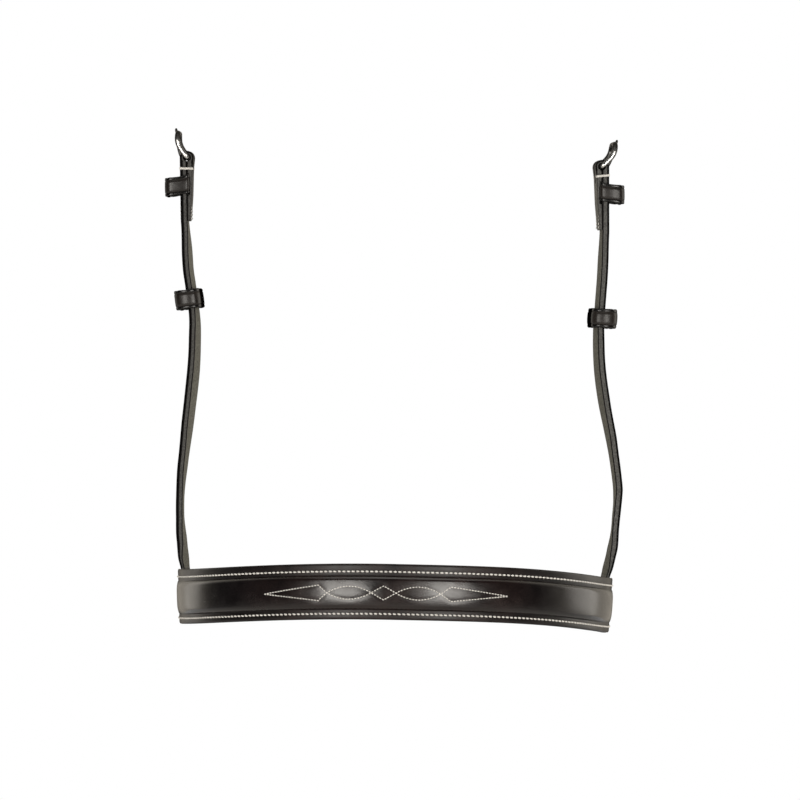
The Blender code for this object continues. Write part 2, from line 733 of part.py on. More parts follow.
def hanger_rings(side, twist_shares, frame, base, stations):
    """Sections of the hanger from the band's lower edge up to its straight top part."""
    sewn_out = SEWN_FACE - SEWN_CURVE_ROOM
    rings = []
    for height in (-BAND_WIDTH / 2, 0.0, BAND_WIDTH / 2):
        outer = frame.place(sewn_out, height)
        rings.append(strip_ring(outer, outer - frame.normal * SEWN_THICKNESS, frame.tangent, STRAP_WIDTH / 2))
    for index, point in enumerate(stations[:-1]):
        before = stations[index - 1] if index else base
        ahead = (stations[index + 1] - before).normalized()
        outward, across = hanger_station(side, twist_shares, base, point, ahead)
        inner = point - outward * skived_thickness(point.z - base.z)
        rings.append(strip_ring(point, inner, across, STRAP_WIDTH / 2))
    return rings


def make_hanger(prefix, side, shape, runner_share, lean, finishes):
    """One hanger strap with its fixed keeper, its sliding runner and its buckle."""
    route_shares, twist_shares, top_lean = shape
    frame, base, curve, top = hanger_route(side, route_shares, top_lean)
    rings = hanger_rings(side, twist_shares, frame, base, curve[1:] + [top])
    straight = (top - curve[-1]).normalized()
    outward, across = hanger_station(side, twist_shares, base, top, straight)
    end = StrapEnd(top, straight, outward, side)
    rings += [strip_ring(outer, inner, end.across, STRAP_WIDTH / 2) for outer, inner in fold_pairs(end)]
    strap = loft(prefix + "_hanger_strap", align_rings(rings), finishes["strap"])
    cut_tongue_slot(strap, end)
    make_keeper(prefix + "_hanger_keeper", end, finishes["keeper"])
    make_buckle(prefix, end, lean, finishes["steel"])
    target = base.z + runner_share * HANGER_REACH
    index = min(range(1, len(curve) - 1), key=lambda place: abs(curve[place].z - target))
    ahead = (curve[index + 1] - curve[index - 1]).normalized()
    make_runner(prefix + "_hanger_runner", curve[index], ahead, Vector((side, 0.0, 0.0)), finishes["keeper"])


def align_rings(rings):
    """Turn each ring so that its points run the same way round and start beside the last ring's."""
    aligned = [rings[0]]
    for ring in rings[1:]:
        last = aligned[-1]
        size = len(ring)
        options = []
        for listing in (list(ring), list(reversed(ring))):
            for start in range(size):
                turned = listing[start:] + listing[:start]
                options.append((sum((a - b).length for a, b in zip(turned, last)), turned))
        aligned.append(min(options, key=lambda option: option[0])[1])
    return aligned


# The rear closure


REARWARD_END = Vector((-1.0, 0.0, 0.0))


def sewn_ring(frame):
    """A rear strap's section where it lies between face and lining."""
    outer = frame.place(SEWN_FACE, 0.0)
    return strip_ring(outer, frame.place(SEWN_FACE - SEWN_THICKNESS, 0.0), frame.up, STRAP_WIDTH / 2)


def sewn_rings(side):
    """Sections of a rear strap from its inner end to the band's end."""
    places = [distance for distance in band_distances(HALF_BAND) if distance >= HALF_BAND - SEWN_REACH]
    return [sewn_ring(HoopFrame(side * angle_at(distance))) for distance in places]


def bend_chape():
    """Sections of the chape from the band's end round to its straight part, and where that starts."""
    frame = HoopFrame(angle_at(HALF_BAND))
    point = frame.place(SEWN_FACE, 0.0)
    start = atan2(frame.tangent.y, frame.tangent.x)
    lean = atan2(frame.up.dot(frame.tangent.cross(UP)), frame.up.z)
    bend = CHAPE_BEND_RADIUS * (pi - start)
    stride = (CHAPE_LEAD + bend) / CHAPE_BEND_STEPS
    rings = []
    for step in range(1, CHAPE_BEND_STEPS + 1):
        gone = stride * step
        middle = start + (pi - start) * max(0.0, gone - stride / 2 - CHAPE_LEAD) / bend
        point = point + Vector((cos(middle), sin(middle), 0.0)) * stride
        turn = start + (pi - start) * max(0.0, gone - CHAPE_LEAD) / bend
        flat = Vector((cos(turn), sin(turn), 0.0)).cross(UP)
        tilt = lean * (1.0 - smoothstep(step / CHAPE_BEND_STEPS))
        up = UP * cos(tilt) + flat * sin(tilt)
        outward = flat * cos(tilt) - UP * sin(tilt)
        rings.append(strip_ring(point, point - outward * skived_thickness(gone), up, STRAP_WIDTH / 2))
    return point, rings


def make_chape(finishes):
    """The chape: the rear strap that carries the rear buckle, its keeper and its runner."""
    point, end_rings = bend_chape()
    straight = point + REARWARD_END * CHAPE_STRAIGHT
    outward = REARWARD_END.cross(UP)
    end = StrapEnd(straight, REARWARD_END, outward, RIGHT_SIDE)
    rings = sewn_rings(RIGHT_SIDE) + end_rings
    rings += [strip_ring(outer, inner, end.across, STRAP_WIDTH / 2) for outer, inner in fold_pairs(end)]
    strap = loft("rear_chape", align_rings(rings), finishes["strap"])
    cut_tongue_slot(strap, end)
    make_keeper("rear_keeper", end, finishes["keeper"])
    make_buckle("rear", end, REAR_BUCKLE_LEAN, finishes["steel"])
    runner_place = straight - REARWARD_END * REAR_RUNNER_SETBACK
    make_runner("rear_runner", runner_place, REARWARD_END, outward, finishes["keeper"])


def billet_half_width(left):
    """Half the billet's width at a distance from its point."""
    gone = 1.0 - min(1.0, left / BILLET_POINT)
    return (BILLET_TIP_WIDTH + (STRAP_WIDTH - BILLET_TIP_WIDTH) * (1.0 - gone ** 2) ** 0.5) / 2


def make_billet(finishes):
    """The billet: the rear strap with the punched holes and the pointed end."""
    rings = sewn_rings(LEFT_SIDE)
    length = distance_at(BILLET_END_ANGLE) - HALF_BAND
    for step in range(1, BILLET_STEPS + 1):
        gone = length * step / BILLET_STEPS
        frame = HoopFrame(-angle_at(HALF_BAND + gone))
        inner = frame.place(SEWN_FACE - skived_thickness(gone), 0.0)
        half_width = billet_half_width(length - gone)
        rings.append(strip_ring(frame.place(SEWN_FACE, 0.0), inner, frame.up, half_width))
    strap = loft("rear_billet", align_rings(rings), finishes["strap"])
    for number in range(HOLE_COUNT):
        distance = HALF_BAND + length - FIRST_HOLE - HOLE_PITCH * number
        punch_hole(strap, number, HoopFrame(-angle_at(distance)))


def punch_hole(strap, number, frame):
    """Punch one round hole for the tongue through the billet."""
    middle = SEWN_FACE - STRAP_THICKNESS / 2
    reach = STRAP_THICKNESS / 2 + CUT_OVERRUN
    rounds = []
    for offset in (middle + reach, middle - reach):
        for side in range(HOLE_SIDES):
            angle = 2 * pi * side / HOLE_SIDES
            across = frame.tangent * (HOLE_RADIUS * cos(angle))
            rounds.append(frame.place(offset, HOLE_RADIUS * sin(angle)) + across)
    cut(strap, cutter_object(f"{strap.name}_punch_{number + 1}", rounds, prism_faces(HOLE_SIDES)))


def main():
    """Build the noseband."""
    clear_scene()
    finishes = {
        "face": material("band_leather", BLACK_LEATHER, 0.38, 0.0),
        "strap": material("leather", STRAP_LEATHER, 0.45, 0.0),
        "keeper": material("keeper_leather", BLACK_LEATHER, 0.35, 0.0),
        "lining": material("lining_leather", LINING_COLOUR, 0.55, 0.0),
        "core": material("core_leather", CORE_COLOUR, 0.8, 0.0),
        "steel": material("stainless_steel", STEEL, 0.18, 1.0),
    }
    make_band(finishes)
    left_shape = (LEFT_ROUTE_SHARES, LEFT_TWIST_SHARES, LEFT_TOP_LEAN)
    make_hanger("left", LEFT_SIDE, left_shape, LEFT_RUNNER_SHARE, LEFT_BUCKLE_LEAN, finishes)
    right_shape = (RIGHT_ROUTE_SHARES, RIGHT_TWIST_SHARES, RIGHT_TOP_LEAN)
    make_hanger("right", RIGHT_SIDE, right_shape, RIGHT_RUNNER_SHARE, RIGHT_BUCKLE_LEAN, finishes)
    make_chape(finishes)
    make_billet(finishes)


main()
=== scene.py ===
"""The noseband's looks: fine leather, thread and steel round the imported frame, with light, floor and camera.

Metres, +Z up, the origin at the middle of the lining's inner face. Left and right are as seen from the front.
"""
from math import asin, atan2, copysign, cos, exp, pi, radians, sin, tan

import bmesh
import bpy
import numpy as np
from mathutils import Matrix, Vector


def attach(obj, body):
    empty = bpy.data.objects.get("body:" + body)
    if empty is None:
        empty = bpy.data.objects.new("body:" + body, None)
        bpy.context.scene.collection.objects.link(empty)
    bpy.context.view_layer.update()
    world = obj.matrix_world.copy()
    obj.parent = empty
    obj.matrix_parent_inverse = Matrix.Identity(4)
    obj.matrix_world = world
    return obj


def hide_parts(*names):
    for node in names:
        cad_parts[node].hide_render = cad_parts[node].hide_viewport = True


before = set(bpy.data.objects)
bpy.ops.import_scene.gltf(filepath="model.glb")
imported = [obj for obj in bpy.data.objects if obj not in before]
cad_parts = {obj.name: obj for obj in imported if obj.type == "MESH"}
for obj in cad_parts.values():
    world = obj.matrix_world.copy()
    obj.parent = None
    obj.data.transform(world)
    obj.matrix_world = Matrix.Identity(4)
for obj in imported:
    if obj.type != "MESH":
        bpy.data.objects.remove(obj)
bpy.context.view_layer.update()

MM = 0.001
UP = Vector((0.0, 0.0, 1.0))
ROOT = "noseband"

# The hoop and the band, as in the frame
HOOP_HALF_WIDTH = 111.9 * MM
HOOP_FRONT_DEPTH = 93.0 * MM
HOOP_REAR_DEPTH = 74.0 * MM
HOOP_REAR_FLAT_SHARE = 0.215
HOOP_DROOP = 7.0 * MM
HOOP_LIFT = 1.3 * MM
HOOP_REAR_RISE_SHARE = 0.4
HOOP_LEAN = radians(3.0)
BAND_LENGTH = 400.0 * MM
BAND_WIDTH = 29.0 * MM
BAND_END_WIDTH = 20.0 * MM
BAND_TAPER = 42.0 * MM
BAND_SEGMENTS = 61
LINING_THICKNESS = 1.5 * MM
FACE_THICKNESS = 1.3 * MM
BAND_MARGIN = 5.6 * MM
RAISE_HEIGHT = 2.6 * MM
RAISE_SIDE_HEIGHT = 1.0 * MM
RAISE_SHOULDER = 1.5 * MM
RAISE_FRONT_REACH = 105.0 * MM
RAISE_SIDE_START = 152.0 * MM
CORE_END_SETBACK = 24.0 * MM
RAISE_FADE = 8.0 * MM
LAYER_GAP = 0.3 * MM

# Straps, keepers and buckles, as in the frame
STRAP_WIDTH = 16.0 * MM
STRAP_THICKNESS = 3.7 * MM
SEWN_THICKNESS = 2.2 * MM
SEWN_CURVE_ROOM = 0.45 * MM
SEWN_REACH = 20.0 * MM
LINING_RAMP = 9.0 * MM
SKIVE_LENGTH = 16.0 * MM
HANGER_ANGLE = radians(96.0)
HANGER_REACH = 218.6 * MM
HANGER_STEPS = 40
LEFT_ROUTE_SHARES = (
    (0.0, 0.0), (0.06, 0.0122), (0.132, 0.0192), (0.217, 0.018), (0.342, 0.0064), (0.48, -0.0062),
    (0.566, -0.0081), (0.618, -0.0059), (0.689, 0.005), (0.73, 0.0117), (0.791, 0.0168), (0.846, 0.0221),
)
RIGHT_ROUTE_SHARES = (
    (0.0, 0.0), (0.072, 0.0203), (0.15, 0.0275), (0.196, 0.0302), (0.235, 0.0281), (0.33, 0.0129),
    (0.427, -0.0077), (0.515, -0.0209), (0.605, -0.025), (0.664, -0.0225), (0.729, -0.0189),
    (0.786, -0.0173), (0.839, -0.0158),
)
LEFT_TOP_LEAN = radians(2.2)
RIGHT_TOP_LEAN = radians(-1.3)
LEFT_TWIST_SHARES = (
    (0.0, 14.0), (0.07, 6.0), (0.13, 1.5), (0.17, 1.5), (0.265, 6.0), (0.372, 10.5), (0.46, 11.5),
    (0.558, 10.0), (0.64, 7.0), (0.76, 7.0), (0.843, 1.5), (1.0, 1.5),
)
RIGHT_TWIST_SHARES = (
    (0.0, 12.0), (0.06, 6.0), (0.12, 0.5), (0.17, 1.5), (0.22, 4.5), (0.286, 5.0), (0.36, 8.0),
    (0.45, 10.0), (0.56, 9.0), (0.64, 7.0), (0.76, 7.0), (0.837, 4.5), (1.0, 4.5),
)
BAR_RADIUS = 1.4 * MM
FOLD_THICKNESS = 2.35 * MM
TAIL_THICKNESS = 1.6 * MM
TAIL_LENGTH = 33.5 * MM
TAIL_SETTLE = 3.5 * MM
FOLD_NECK = 5.6 * MM
SLOT_WIDTH = 3.6 * MM
SLOT_REACH = 9.0 * MM
KEEPER_WIDTH = 9.8 * MM
KEEPER_THICKNESS = 1.8 * MM
KEEPER_END_THICKNESS = 0.8 * MM
KEEPER_END_GAP = 2.0 * MM
KEEPER_SETBACK = 15.0 * MM
KEEPER_ROOM = 6.3 * MM
KEEPER_CORNER = 2.4 * MM
KEEPER_FOOT_CORNER = 1.0 * MM
RUNNER_OUTER_ROOM = 5.6 * MM
RUNNER_INNER_ROOM = 2.2 * MM
RUNNER_SIDE_ROOM = 0.9 * MM
LEFT_RUNNER_SHARE = 0.657
RIGHT_RUNNER_SHARE = 0.63
WIRE_RADIUS = 1.45 * MM
FRAME_SIDE_ROOM = 0.5 * MM
FRAME_LENGTH = 14.0 * MM
FRAME_BOW = 1.7 * MM
FRAME_BOW_POWER = 1.3
FRAME_CORNER = 4.2 * MM
BAR_CORNER = 1.6 * MM
NOTCH_RADIUS = 0.75 * MM
NOTCH_HALF_WIDTH = 1.9 * MM
NOTCH_SHOULDER = 0.8 * MM
TONGUE_RADIUS = 1.05 * MM
TONGUE_TIP_RADIUS = 0.7 * MM
TONGUE_GAP = 0.25 * MM
TONGUE_ARCH = 0.2 * MM
TONGUE_OVERHANG = 3.2 * MM
TONGUE_TIP_DROP = 0.7 * MM
HOOK_TURN = radians(258.0)
LEFT_BUCKLE_LEAN = radians(19.7)
RIGHT_BUCKLE_LEAN = radians(31.0)
REAR_BUCKLE_LEAN = radians(8.0)
CHAPE_LEAD = 20.0 * MM
CHAPE_BEND_RADIUS = 78.0 * MM
CHAPE_BEND_STEPS = 70
CHAPE_STRAIGHT = 66.0 * MM
REAR_RUNNER_SETBACK = 47.0 * MM
BILLET_END_ANGLE = radians(209.0)
BILLET_POINT = 13.0 * MM
BILLET_TIP_WIDTH = 4.0 * MM
HOLE_COUNT = 6
HOLE_PITCH = 20.0 * MM
HOLE_RADIUS = 1.9 * MM
FIRST_HOLE = 42.0 * MM

# Steps that only the looks have
BAND_STEP = 0.8 * MM
PANEL_STEPS = 40
STRAP_STEPS = 150
NECK_STEPS = 12
FOLD_STEPS = 22
TAIL_STEPS = 60
SLOT_STEPS = 12
HOLE_STEPS = 24
BILLET_STEPS = 170
SEWN_STEPS = 20
HANGER_SEWN_STEPS = 8
HANGER_NECK_STEPS = 8
CORNER_STEPS = 9
LOOP_STEPS = 5
FOOT_STEPS = 3
FLARE_STEPS = 14
WIRE_SIDES = 20
HOOK_STEPS = 28
STEM_STEPS = 30
LEAF_STEPS = 14
STITCH_STEPS = 6
THREAD_BAR_STEPS = 48
BAND_SHARP = radians(70.0)
PIECE_SHARP = radians(50.0)

# Edges, bevels and creases of the leather
EDGE_DOME = 0.75 * MM
LINING_DOME = 0.4 * MM
LOOP_DOME = 0.45 * MM
OUTER_BEVEL = {"left": 1.7 * MM, "right": 1.2 * MM, "rear": 1.1 * MM}
INNER_BEVEL = 0.55 * MM
PLAIN_BEVEL = 0.3 * MM
# Bevels at least this wide get painted shade at the strap's corners
SHADED_BEVEL = 0.5 * MM
BEVEL_SKIN = 0.06 * MM
BEVEL_FADE = 0.12 * MM
EDGE_WEAR = {"left": 0.5, "right": 0.75, "rear": 0.6}
TAIL_FACE = {"left": 0.5, "right": 1.4, "rear": 0.8}
FLESH = 2.0
FLESH_DARK = (0.084, 0.084, 0.073)
FLESH_LIGHT = (0.205, 0.202, 0.176)
CREASE_INSET = 1.7 * MM
CREASE_DEPTH = 0.24 * MM
CREASE_WIDTH = 0.32 * MM

# The face leather's relief
PATTERN_SHIFT = -0.5 * MM
MARGIN_SHARES = (1.0, 0.93, 0.80, 0.68, 0.66, 0.634, 0.60, 0.50, 0.34, 0.18, 0.10, 0.04)
PANEL_CREASE = 0.12 * MM
PANEL_CREASE_WIDTH = 0.55 * MM
PANEL_MARK_HEIGHT = 0.8 * MM
FACE_ROUNDING = 0.5 * MM
FACE_ROUNDING_WIDTH = 0.9 * MM
FACE_EDGE_WIDTH = 0.3 * MM
FACE_BACK_INSET = 0.2 * MM
QUILT_DEPTH = 0.11 * MM
QUILT_REACH = 1.5 * MM
WARM_REACH = 40.0 * MM
WARM_FADE = 55.0 * MM
SLOPE_STEP = 0.3 * MM

# The band's stitches
ROW_INSET = 3.55 * MM
ROW_GROOVE = 0.28 * MM
ROW_GROOVE_WIDTH = 0.75 * MM
ROW_PITCH = 2.38 * MM
ROW_STITCH = 1.45 * MM
ROW_THREAD = 0.47 * MM
ROW_ARCH = 0.36 * MM
ROW_END_ROOM = 3.0 * MM
LINING_ROW_THREAD = ROW_THREAD * 0.85
LINING_ROW_ARCH = 0.30 * MM
FANCY_PITCH = 1.52 * MM
FANCY_STITCH = 0.90 * MM
FANCY_THREAD = 0.31 * MM
FANCY_ARCH = 0.26 * MM

# Stitches at the strap ends, the bars' route in millimetres past the strap's edge and face
BARS_RISE = {"left": 0.0, "right": 0.85 * MM, "rear": 0.0}
BARS_TILT = {"left": 0.15 * MM, "right": 0.42 * MM, "rear": 0.2 * MM}
THREAD_BAR_ROUTE = ((-2.6, -0.5), (-2.2, 0.05), (-0.4, -0.02), (0.18, -0.55))
THREAD_BAR_REACH = 0.22 * MM
THREAD_BAR_RADIUS = 0.33 * MM
THREAD_BAR_PITCH = 0.55 * MM
THREAD_BAR_LIFT = 0.1 * MM
TAIL_ROW_INSET = 2.3 * MM
TAIL_ROW_ROOM = 1.2 * MM
TAIL_PITCH = 1.9 * MM
TAIL_STITCH = 1.15 * MM
TAIL_THREAD = 0.20 * MM
TAIL_ARCH = 0.08 * MM

# Wear and settling of keepers, runners and straps, and painted shade on the steel
SEAM_GAP = 0.05 * MM
FOLD_THINNING = 0.65 * MM
KEEPER_SAG = 1.4 * MM
KEEPER_RISE = {"left": 0.8 * MM, "right": 1.5 * MM, "rear": 0.0}
KEEPER_BOW = {"left": 0.3 * MM, "right": 0.8 * MM, "rear": 0.5 * MM}
KEEPER_BULGE = 0.22 * MM
FOOT_FLARE = 1.1 * MM
RUNNER_WIDTH = 10.2 * MM
RUNNER_RISE = {"left": 1.7 * MM, "right": 0.0}
RUNNER_YAW = {"left": radians(5.0), "right": radians(6.0), "rear": 0.0}
RUNNER_BULGE = {"left": 0.25 * MM, "right": 0.6 * MM, "rear": 0.3 * MM}
RUNNER_SLACK = {"left": 0.8 * MM, "right": 0.8 * MM, "rear": 0.0}
WALL_BOW = 1.6 * MM
TOP_BOW_SHARE = 0.2
LOOP_WOBBLE = 0.12 * MM
STATION_BLEND = 8.0 * MM
SEWN_OVERHANG = 0.5 * MM
SEWN_TOP_ROOM = 0.2 * MM
CUT_OVERRUN = 3.0 * MM
# Painted shade on the far arm and on the tongue of each buckle, as shares of the steel's shade
FAR_ARM_SHADE = 0.85
TONGUE_SHADE = 0.9

# The camera, whose place comes from the photograph's perspective, the floor and the light
CAMERA_PLACE = (0.0006, -3.606, 0.0996)
CAMERA_LENS = 312.7
CAMERA_ROLL = radians(-1.2)
FLOOR_HEIGHT = -0.35
FLOOR_RADIUS = 1.3
LAMP_COLOUR = (1.0, 0.965, 0.91)
ROOM_COLOUR = (0.88, 0.80, 0.68)


def smoothstep(value):
    value = min(1.0, max(0.0, value))
    return value * value * (3.0 - 2.0 * value)


def between(pairs, share):
    """A value eased between the (share, value) pairs on both sides of a share."""
    for (low, first), (high, second) in zip(pairs, pairs[1:]):
        if share <= high:
            return first + (second - first) * smoothstep((share - low) / (high - low))
    return pairs[-1][1]


def spline(points, count):
    """Points along a smooth curve that passes through the given ones."""
    ends = [points[0] * 2 - points[1], *points, points[-1] * 2 - points[-2]]
    spans = len(points) - 1
    route = []
    for step in range(count + 1):
        place = spans * step / count
        index = min(int(place), spans - 1)
        f = place - index
        a, b, c, d = ends[index:index + 4]
        square = (2 * a - 5 * b + 4 * c - d) * f ** 2
        cube = (3 * b - a - 3 * c + d) * f ** 3
        route.append((2 * b + (c - a) * f + square + cube) / 2)
    return route


def hoop_plan(angle):
    back = -cos(angle)
    depth = HOOP_FRONT_DEPTH * back
    if abs(angle) > pi / 2:
        depth = HOOP_REAR_DEPTH * back * (1.0 - HOOP_REAR_FLAT_SHARE * back ** 2)
    return Vector((HOOP_HALF_WIDTH * sin(angle), HOOP_FRONT_DEPTH + depth, 0.0))


def arc_table():
    step = radians(0.25)
    made = [(0.0, 0.0)]
    place = hoop_plan(0.0)
    for count in range(1, 961):
        following = hoop_plan(step * count)
        made.append((made[-1][0] + (following - place).length, step * count))
        place = following
    return np.array(made)


ARCS = arc_table()


def angle_at(distance):
    return copysign(np.interp(abs(distance), ARCS[:, 0], ARCS[:, 1]), distance)


def distance_at(angle):
    return float(np.interp(angle, ARCS[:, 1], ARCS[:, 0]))


NOSE_FLAT = hoop_plan(angle_at(BAND_LENGTH / BAND_SEGMENTS / 2)).y


class HoopFrame:
    """A place on the hoop: its point, tangent, outward normal and upward direction."""

    def __init__(self, angle):
        small = radians(0.05)
        sine = sin(angle) ** 2
        fall = sine if abs(angle) <= pi / 2 else 1.0 - HOOP_REAR_RISE_SHARE * (1.0 - sine)
        lift = sin(2.0 * angle) ** 2 if 0.0 < angle < pi / 2 else 0.0
        self.point = hoop_plan(angle) - Vector((0.0, NOSE_FLAT, HOOP_DROOP * fall - HOOP_LIFT * lift))
        self.tangent = (hoop_plan(angle + small) - hoop_plan(angle - small)).normalized()
        flat_normal = self.tangent.cross(UP)
        lean = HOOP_LEAN * sine
        self.up = UP * cos(lean) + flat_normal * sin(lean)
        self.normal = flat_normal * cos(lean) - UP * sin(lean)

    def place(self, outward, height):
        return self.point + self.normal * outward + self.up * height


FACE_BACK = LINING_THICKNESS + LAYER_GAP
FACE_FRONT = FACE_BACK + FACE_THICKNESS
SEWN_FACE = FACE_BACK - LAYER_GAP
HANGER_SEWN_FACE = SEWN_FACE - SEWN_CURVE_ROOM
HALF_BAND = BAND_LENGTH / 2
HANGER_DISTANCE = distance_at(HANGER_ANGLE)
LINING_DROP = SEWN_CURVE_ROOM + SEWN_THICKNESS + LAYER_GAP
CORE_END = HALF_BAND - CORE_END_SETBACK
FOLD_INNER_RADIUS = BAR_RADIUS + LAYER_GAP
FOLD_OUTER_RADIUS = FOLD_INNER_RADIUS + FOLD_THICKNESS
SEAM = FOLD_OUTER_RADIUS - STRAP_THICKNESS
KEEPER_SEAM_TOP = SEAM - LAYER_GAP
KEEPER_SEAM_BACK = KEEPER_SEAM_TOP - KEEPER_END_THICKNESS
KEEPER_NEAR = KEEPER_SETBACK - KEEPER_WIDTH / 2
KEEPER_FAR = KEEPER_SETBACK + KEEPER_WIDTH / 2
TAIL_BACK = (
    (0.0, FOLD_THINNING - FOLD_OUTER_RADIUS), (FOLD_NECK, -2.75 * MM), (KEEPER_FAR, -2.15 * MM),
    (TAIL_LENGTH - 1.0 * MM, -1.15 * MM), (TAIL_LENGTH, -0.75 * MM),
)
REARWARD_END = Vector((-1.0, 0.0, 0.0))


def band_half_width(distance):
    taper = smoothstep((abs(distance) - HALF_BAND + BAND_TAPER) / BAND_TAPER)
    return (BAND_WIDTH - (BAND_WIDTH - BAND_END_WIDTH) * taper) / 2


def raise_height(distance):
    size = abs(distance)
    ease = smoothstep((size - RAISE_FRONT_REACH) / (RAISE_SIDE_START - RAISE_FRONT_REACH))
    height = RAISE_HEIGHT + (RAISE_SIDE_HEIGHT - RAISE_HEIGHT) * ease
    return height * (1.0 - smoothstep((size - CORE_END) / RAISE_FADE))


def lining_drop(distance):
    """How far the lining is let down, toward the nose, to make room for a strap."""
    size = abs(distance)
    flat = STRAP_WIDTH / 2 + LINING_RAMP / 4
    at_hanger = 1.0 - smoothstep((abs(size - HANGER_DISTANCE) - flat) / LINING_RAMP)
    at_end = smoothstep((size - HALF_BAND + SEWN_REACH + LINING_RAMP * 1.5) / LINING_RAMP)
    return LINING_DROP * max(at_hanger, at_end)


# Materials


class Paint:
    """A material or world in the making, with short ways to add its nodes and join them."""

    def __init__(self, made):
        made.use_nodes = True
        self.made = made
        self.tree = made.node_tree

    def feed(self, value, socket):
        """Link another node's output into a socket, or set a plain value on it."""
        if isinstance(value, bpy.types.NodeSocket):
            self.tree.links.new(value, socket)
        else:
            socket.default_value = (*value, 1.0) if isinstance(value, tuple) else value

    def add(self, kind, source=None, **values):
        """A new node with its settings and inputs, its first input fed by the source."""
        node = self.tree.nodes.new(kind)
        for key, value in values.items():
            if hasattr(node, key):
                setattr(node, key, value)
            else:
                self.feed(value, node.inputs[key])
        if source is not None:
            self.feed(source, node.inputs[0])
        return node

    def coat(self, values):
        """Set or link inputs of the main shader."""
        shader = self.tree.nodes["Principled BSDF"]
        for key, value in values.items():
            self.feed(value, shader.inputs[key])

    def place(self):
        return self.add("ShaderNodeTexCoord").outputs["Object"]

    def attribute(self, name):
        return self.add("ShaderNodeAttribute", attribute_name=name).outputs["Fac"]

    def noise(self, scale, detail, rough):
        node = self.add("ShaderNodeTexNoise", self.place(), Scale=scale, Detail=detail, Roughness=rough)
        return node.outputs["Fac"]

    def spread(self, source, low, high, first=0.0, second=1.0):
        """Carry the range from first to second over to the range from low to high."""
        limits = {"From Min": first, "From Max": second, "To Min": low, "To Max": high}
        return self.add("ShaderNodeMapRange", source, **limits).outputs["Result"]

    def maths(self, operation, first, second):
        node = self.add("ShaderNodeMath", first, operation=operation)
        self.feed(second, node.inputs[1])
        return node.outputs[0]

    def plus(self, first, second):
        return self.maths("ADD", first, second)

    def less(self, first, second):
        return self.maths("SUBTRACT", first, second)

    def times(self, first, second):
        return self.maths("MULTIPLY", first, second)

    def larger(self, first, second):
        return self.maths("MAXIMUM", first, second)

    def mix(self, share, first, second):
        node = self.add("ShaderNodeMix", share, data_type="RGBA")
        self.feed(first, node.inputs[6])
        self.feed(second, node.inputs[7])
        return node.outputs[2]

    def facing(self, low, high):
        """How far a surface turns away from the view, from 0 at the low mark to 1 at the high one."""
        return self.spread(self.add("ShaderNodeLayerWeight", 0.5).outputs["Facing"], 0.0, 1.0, low, high)

    def bump(self, *parts):
        """Chain bumps, each a (height, strength, distance) triple, into the shader's normal."""
        last = None
        for height, strength, distance in parts:
            node = self.add("ShaderNodeBump", Height=height, Strength=strength, Distance=distance)
            if last is not None:
                self.feed(last, node.inputs["Normal"])
            last = node.outputs["Normal"]
        self.coat({"Normal": last})


def shaded(colour, level):
    return tuple(part * level for part in colour)


def edge_tone(paint, face, edge, edge_colour, fibres):
    """The face's colour, carried over into those of the worn edge and of the flesh side."""
    share = paint.spread(fibres, 0.0, 1.0, 0.38, 0.62)
    wear_and_shade = paint.mix(share, shaded(edge_colour, 0.5), shaded(edge_colour, 1.5))
    flesh = paint.mix(share, FLESH_DARK, FLESH_LIGHT)
    return paint.mix(edge, face, paint.mix(paint.spread(edge, 0.0, 1.0, 1.0, FLESH), wear_and_shade, flesh))


def leather_grain(paint, grain, fibres):
    """Creases, pebbles between pores, and fibres."""
    cells = paint.add("ShaderNodeTexVoronoi", paint.place(), feature="DISTANCE_TO_EDGE", Scale=1150.0)
    pebbles = paint.spread(cells.outputs["Distance"], 0.0, 1.0, 0.0, 0.25)
    creases = paint.noise(160.0, 4.0, 0.6)
    paint.bump((creases, 0.30, 0.12 * MM), (pebbles, grain, 0.06 * MM), (fibres, 0.12, 0.05 * MM))


def leather(
    name, dark, light, roughness, edge_colour, grain=0.18, specular=0.5, rim=(0.86, 0.97, 0.02),
    cool=None, edge_finish=(0.16, 0.45, 1.0),
):
    """Grained leather: mottled colour, pores and creases, with worn edges and painted shade on bevels where
    the mesh marks them.

    The rim gives where surfaces that turn away from the view get painted shade, and the sheen left there. The
    edge finish gives the worn edge's added roughness, its lost sheen and how far it is spared from the painted
    rim shade.
    """
    paint = Paint(bpy.data.materials.new(name))
    mottle = paint.noise(95.0, 5.0, 0.6)
    cloud = paint.noise(26.0, 2.0, 0.5)
    blend = paint.spread(paint.plus(paint.times(mottle, 0.55), paint.times(cloud, 0.45)), 0.0, 1.0, 0.36, 0.66)
    face = paint.mix(blend, dark, light)
    if cool:
        face = paint.mix(paint.attribute("warm"), paint.mix(blend, dark, cool), face)
    mark = paint.attribute("edge")
    edge = paint.larger(mark, 0.0)
    # Painted shade on the bevels tagged -1
    bevel_shade = paint.spread(mark, 0.9, 0.0, -1.0, 0.0)
    fibres = paint.noise(1100.0, 4.0, 0.75)
    tone = edge_tone(paint, face, edge, edge_colour, fibres)
    roughening, dulling, sparing = edge_finish
    # Painted shade where the surface turns from the view, with less sheen there
    rim_shade = paint.times(paint.facing(*rim[:2]), paint.less(1.0, paint.times(edge, sparing)))
    rim_shade = paint.maths("MINIMUM", paint.larger(rim_shade, bevel_shade), 1.0)
    sheen = paint.spread(mottle, roughness - 0.05, roughness + 0.07, 0.3, 0.7)
    rough = paint.plus(sheen, paint.times(edge, roughening))
    level = paint.less(1.0, paint.times(edge, dulling))
    level = paint.times(level, paint.spread(rim_shade, specular, rim[2]))
    if cool:
        panel = paint.attribute("panel")
        rough = paint.less(rough, paint.times(panel, 0.17))
        level = paint.times(level, paint.spread(panel, 0.68, 1.0))
    leather_grain(paint, grain, fibres)
    # The colour goes to a painted shade toward the rim and on shaded bevels
    colour = paint.mix(rim_shade, tone, shaded(dark, 0.25))
    paint.coat({"Base Color": colour, "Roughness": rough, "Specular IOR Level": level})
    return paint.made


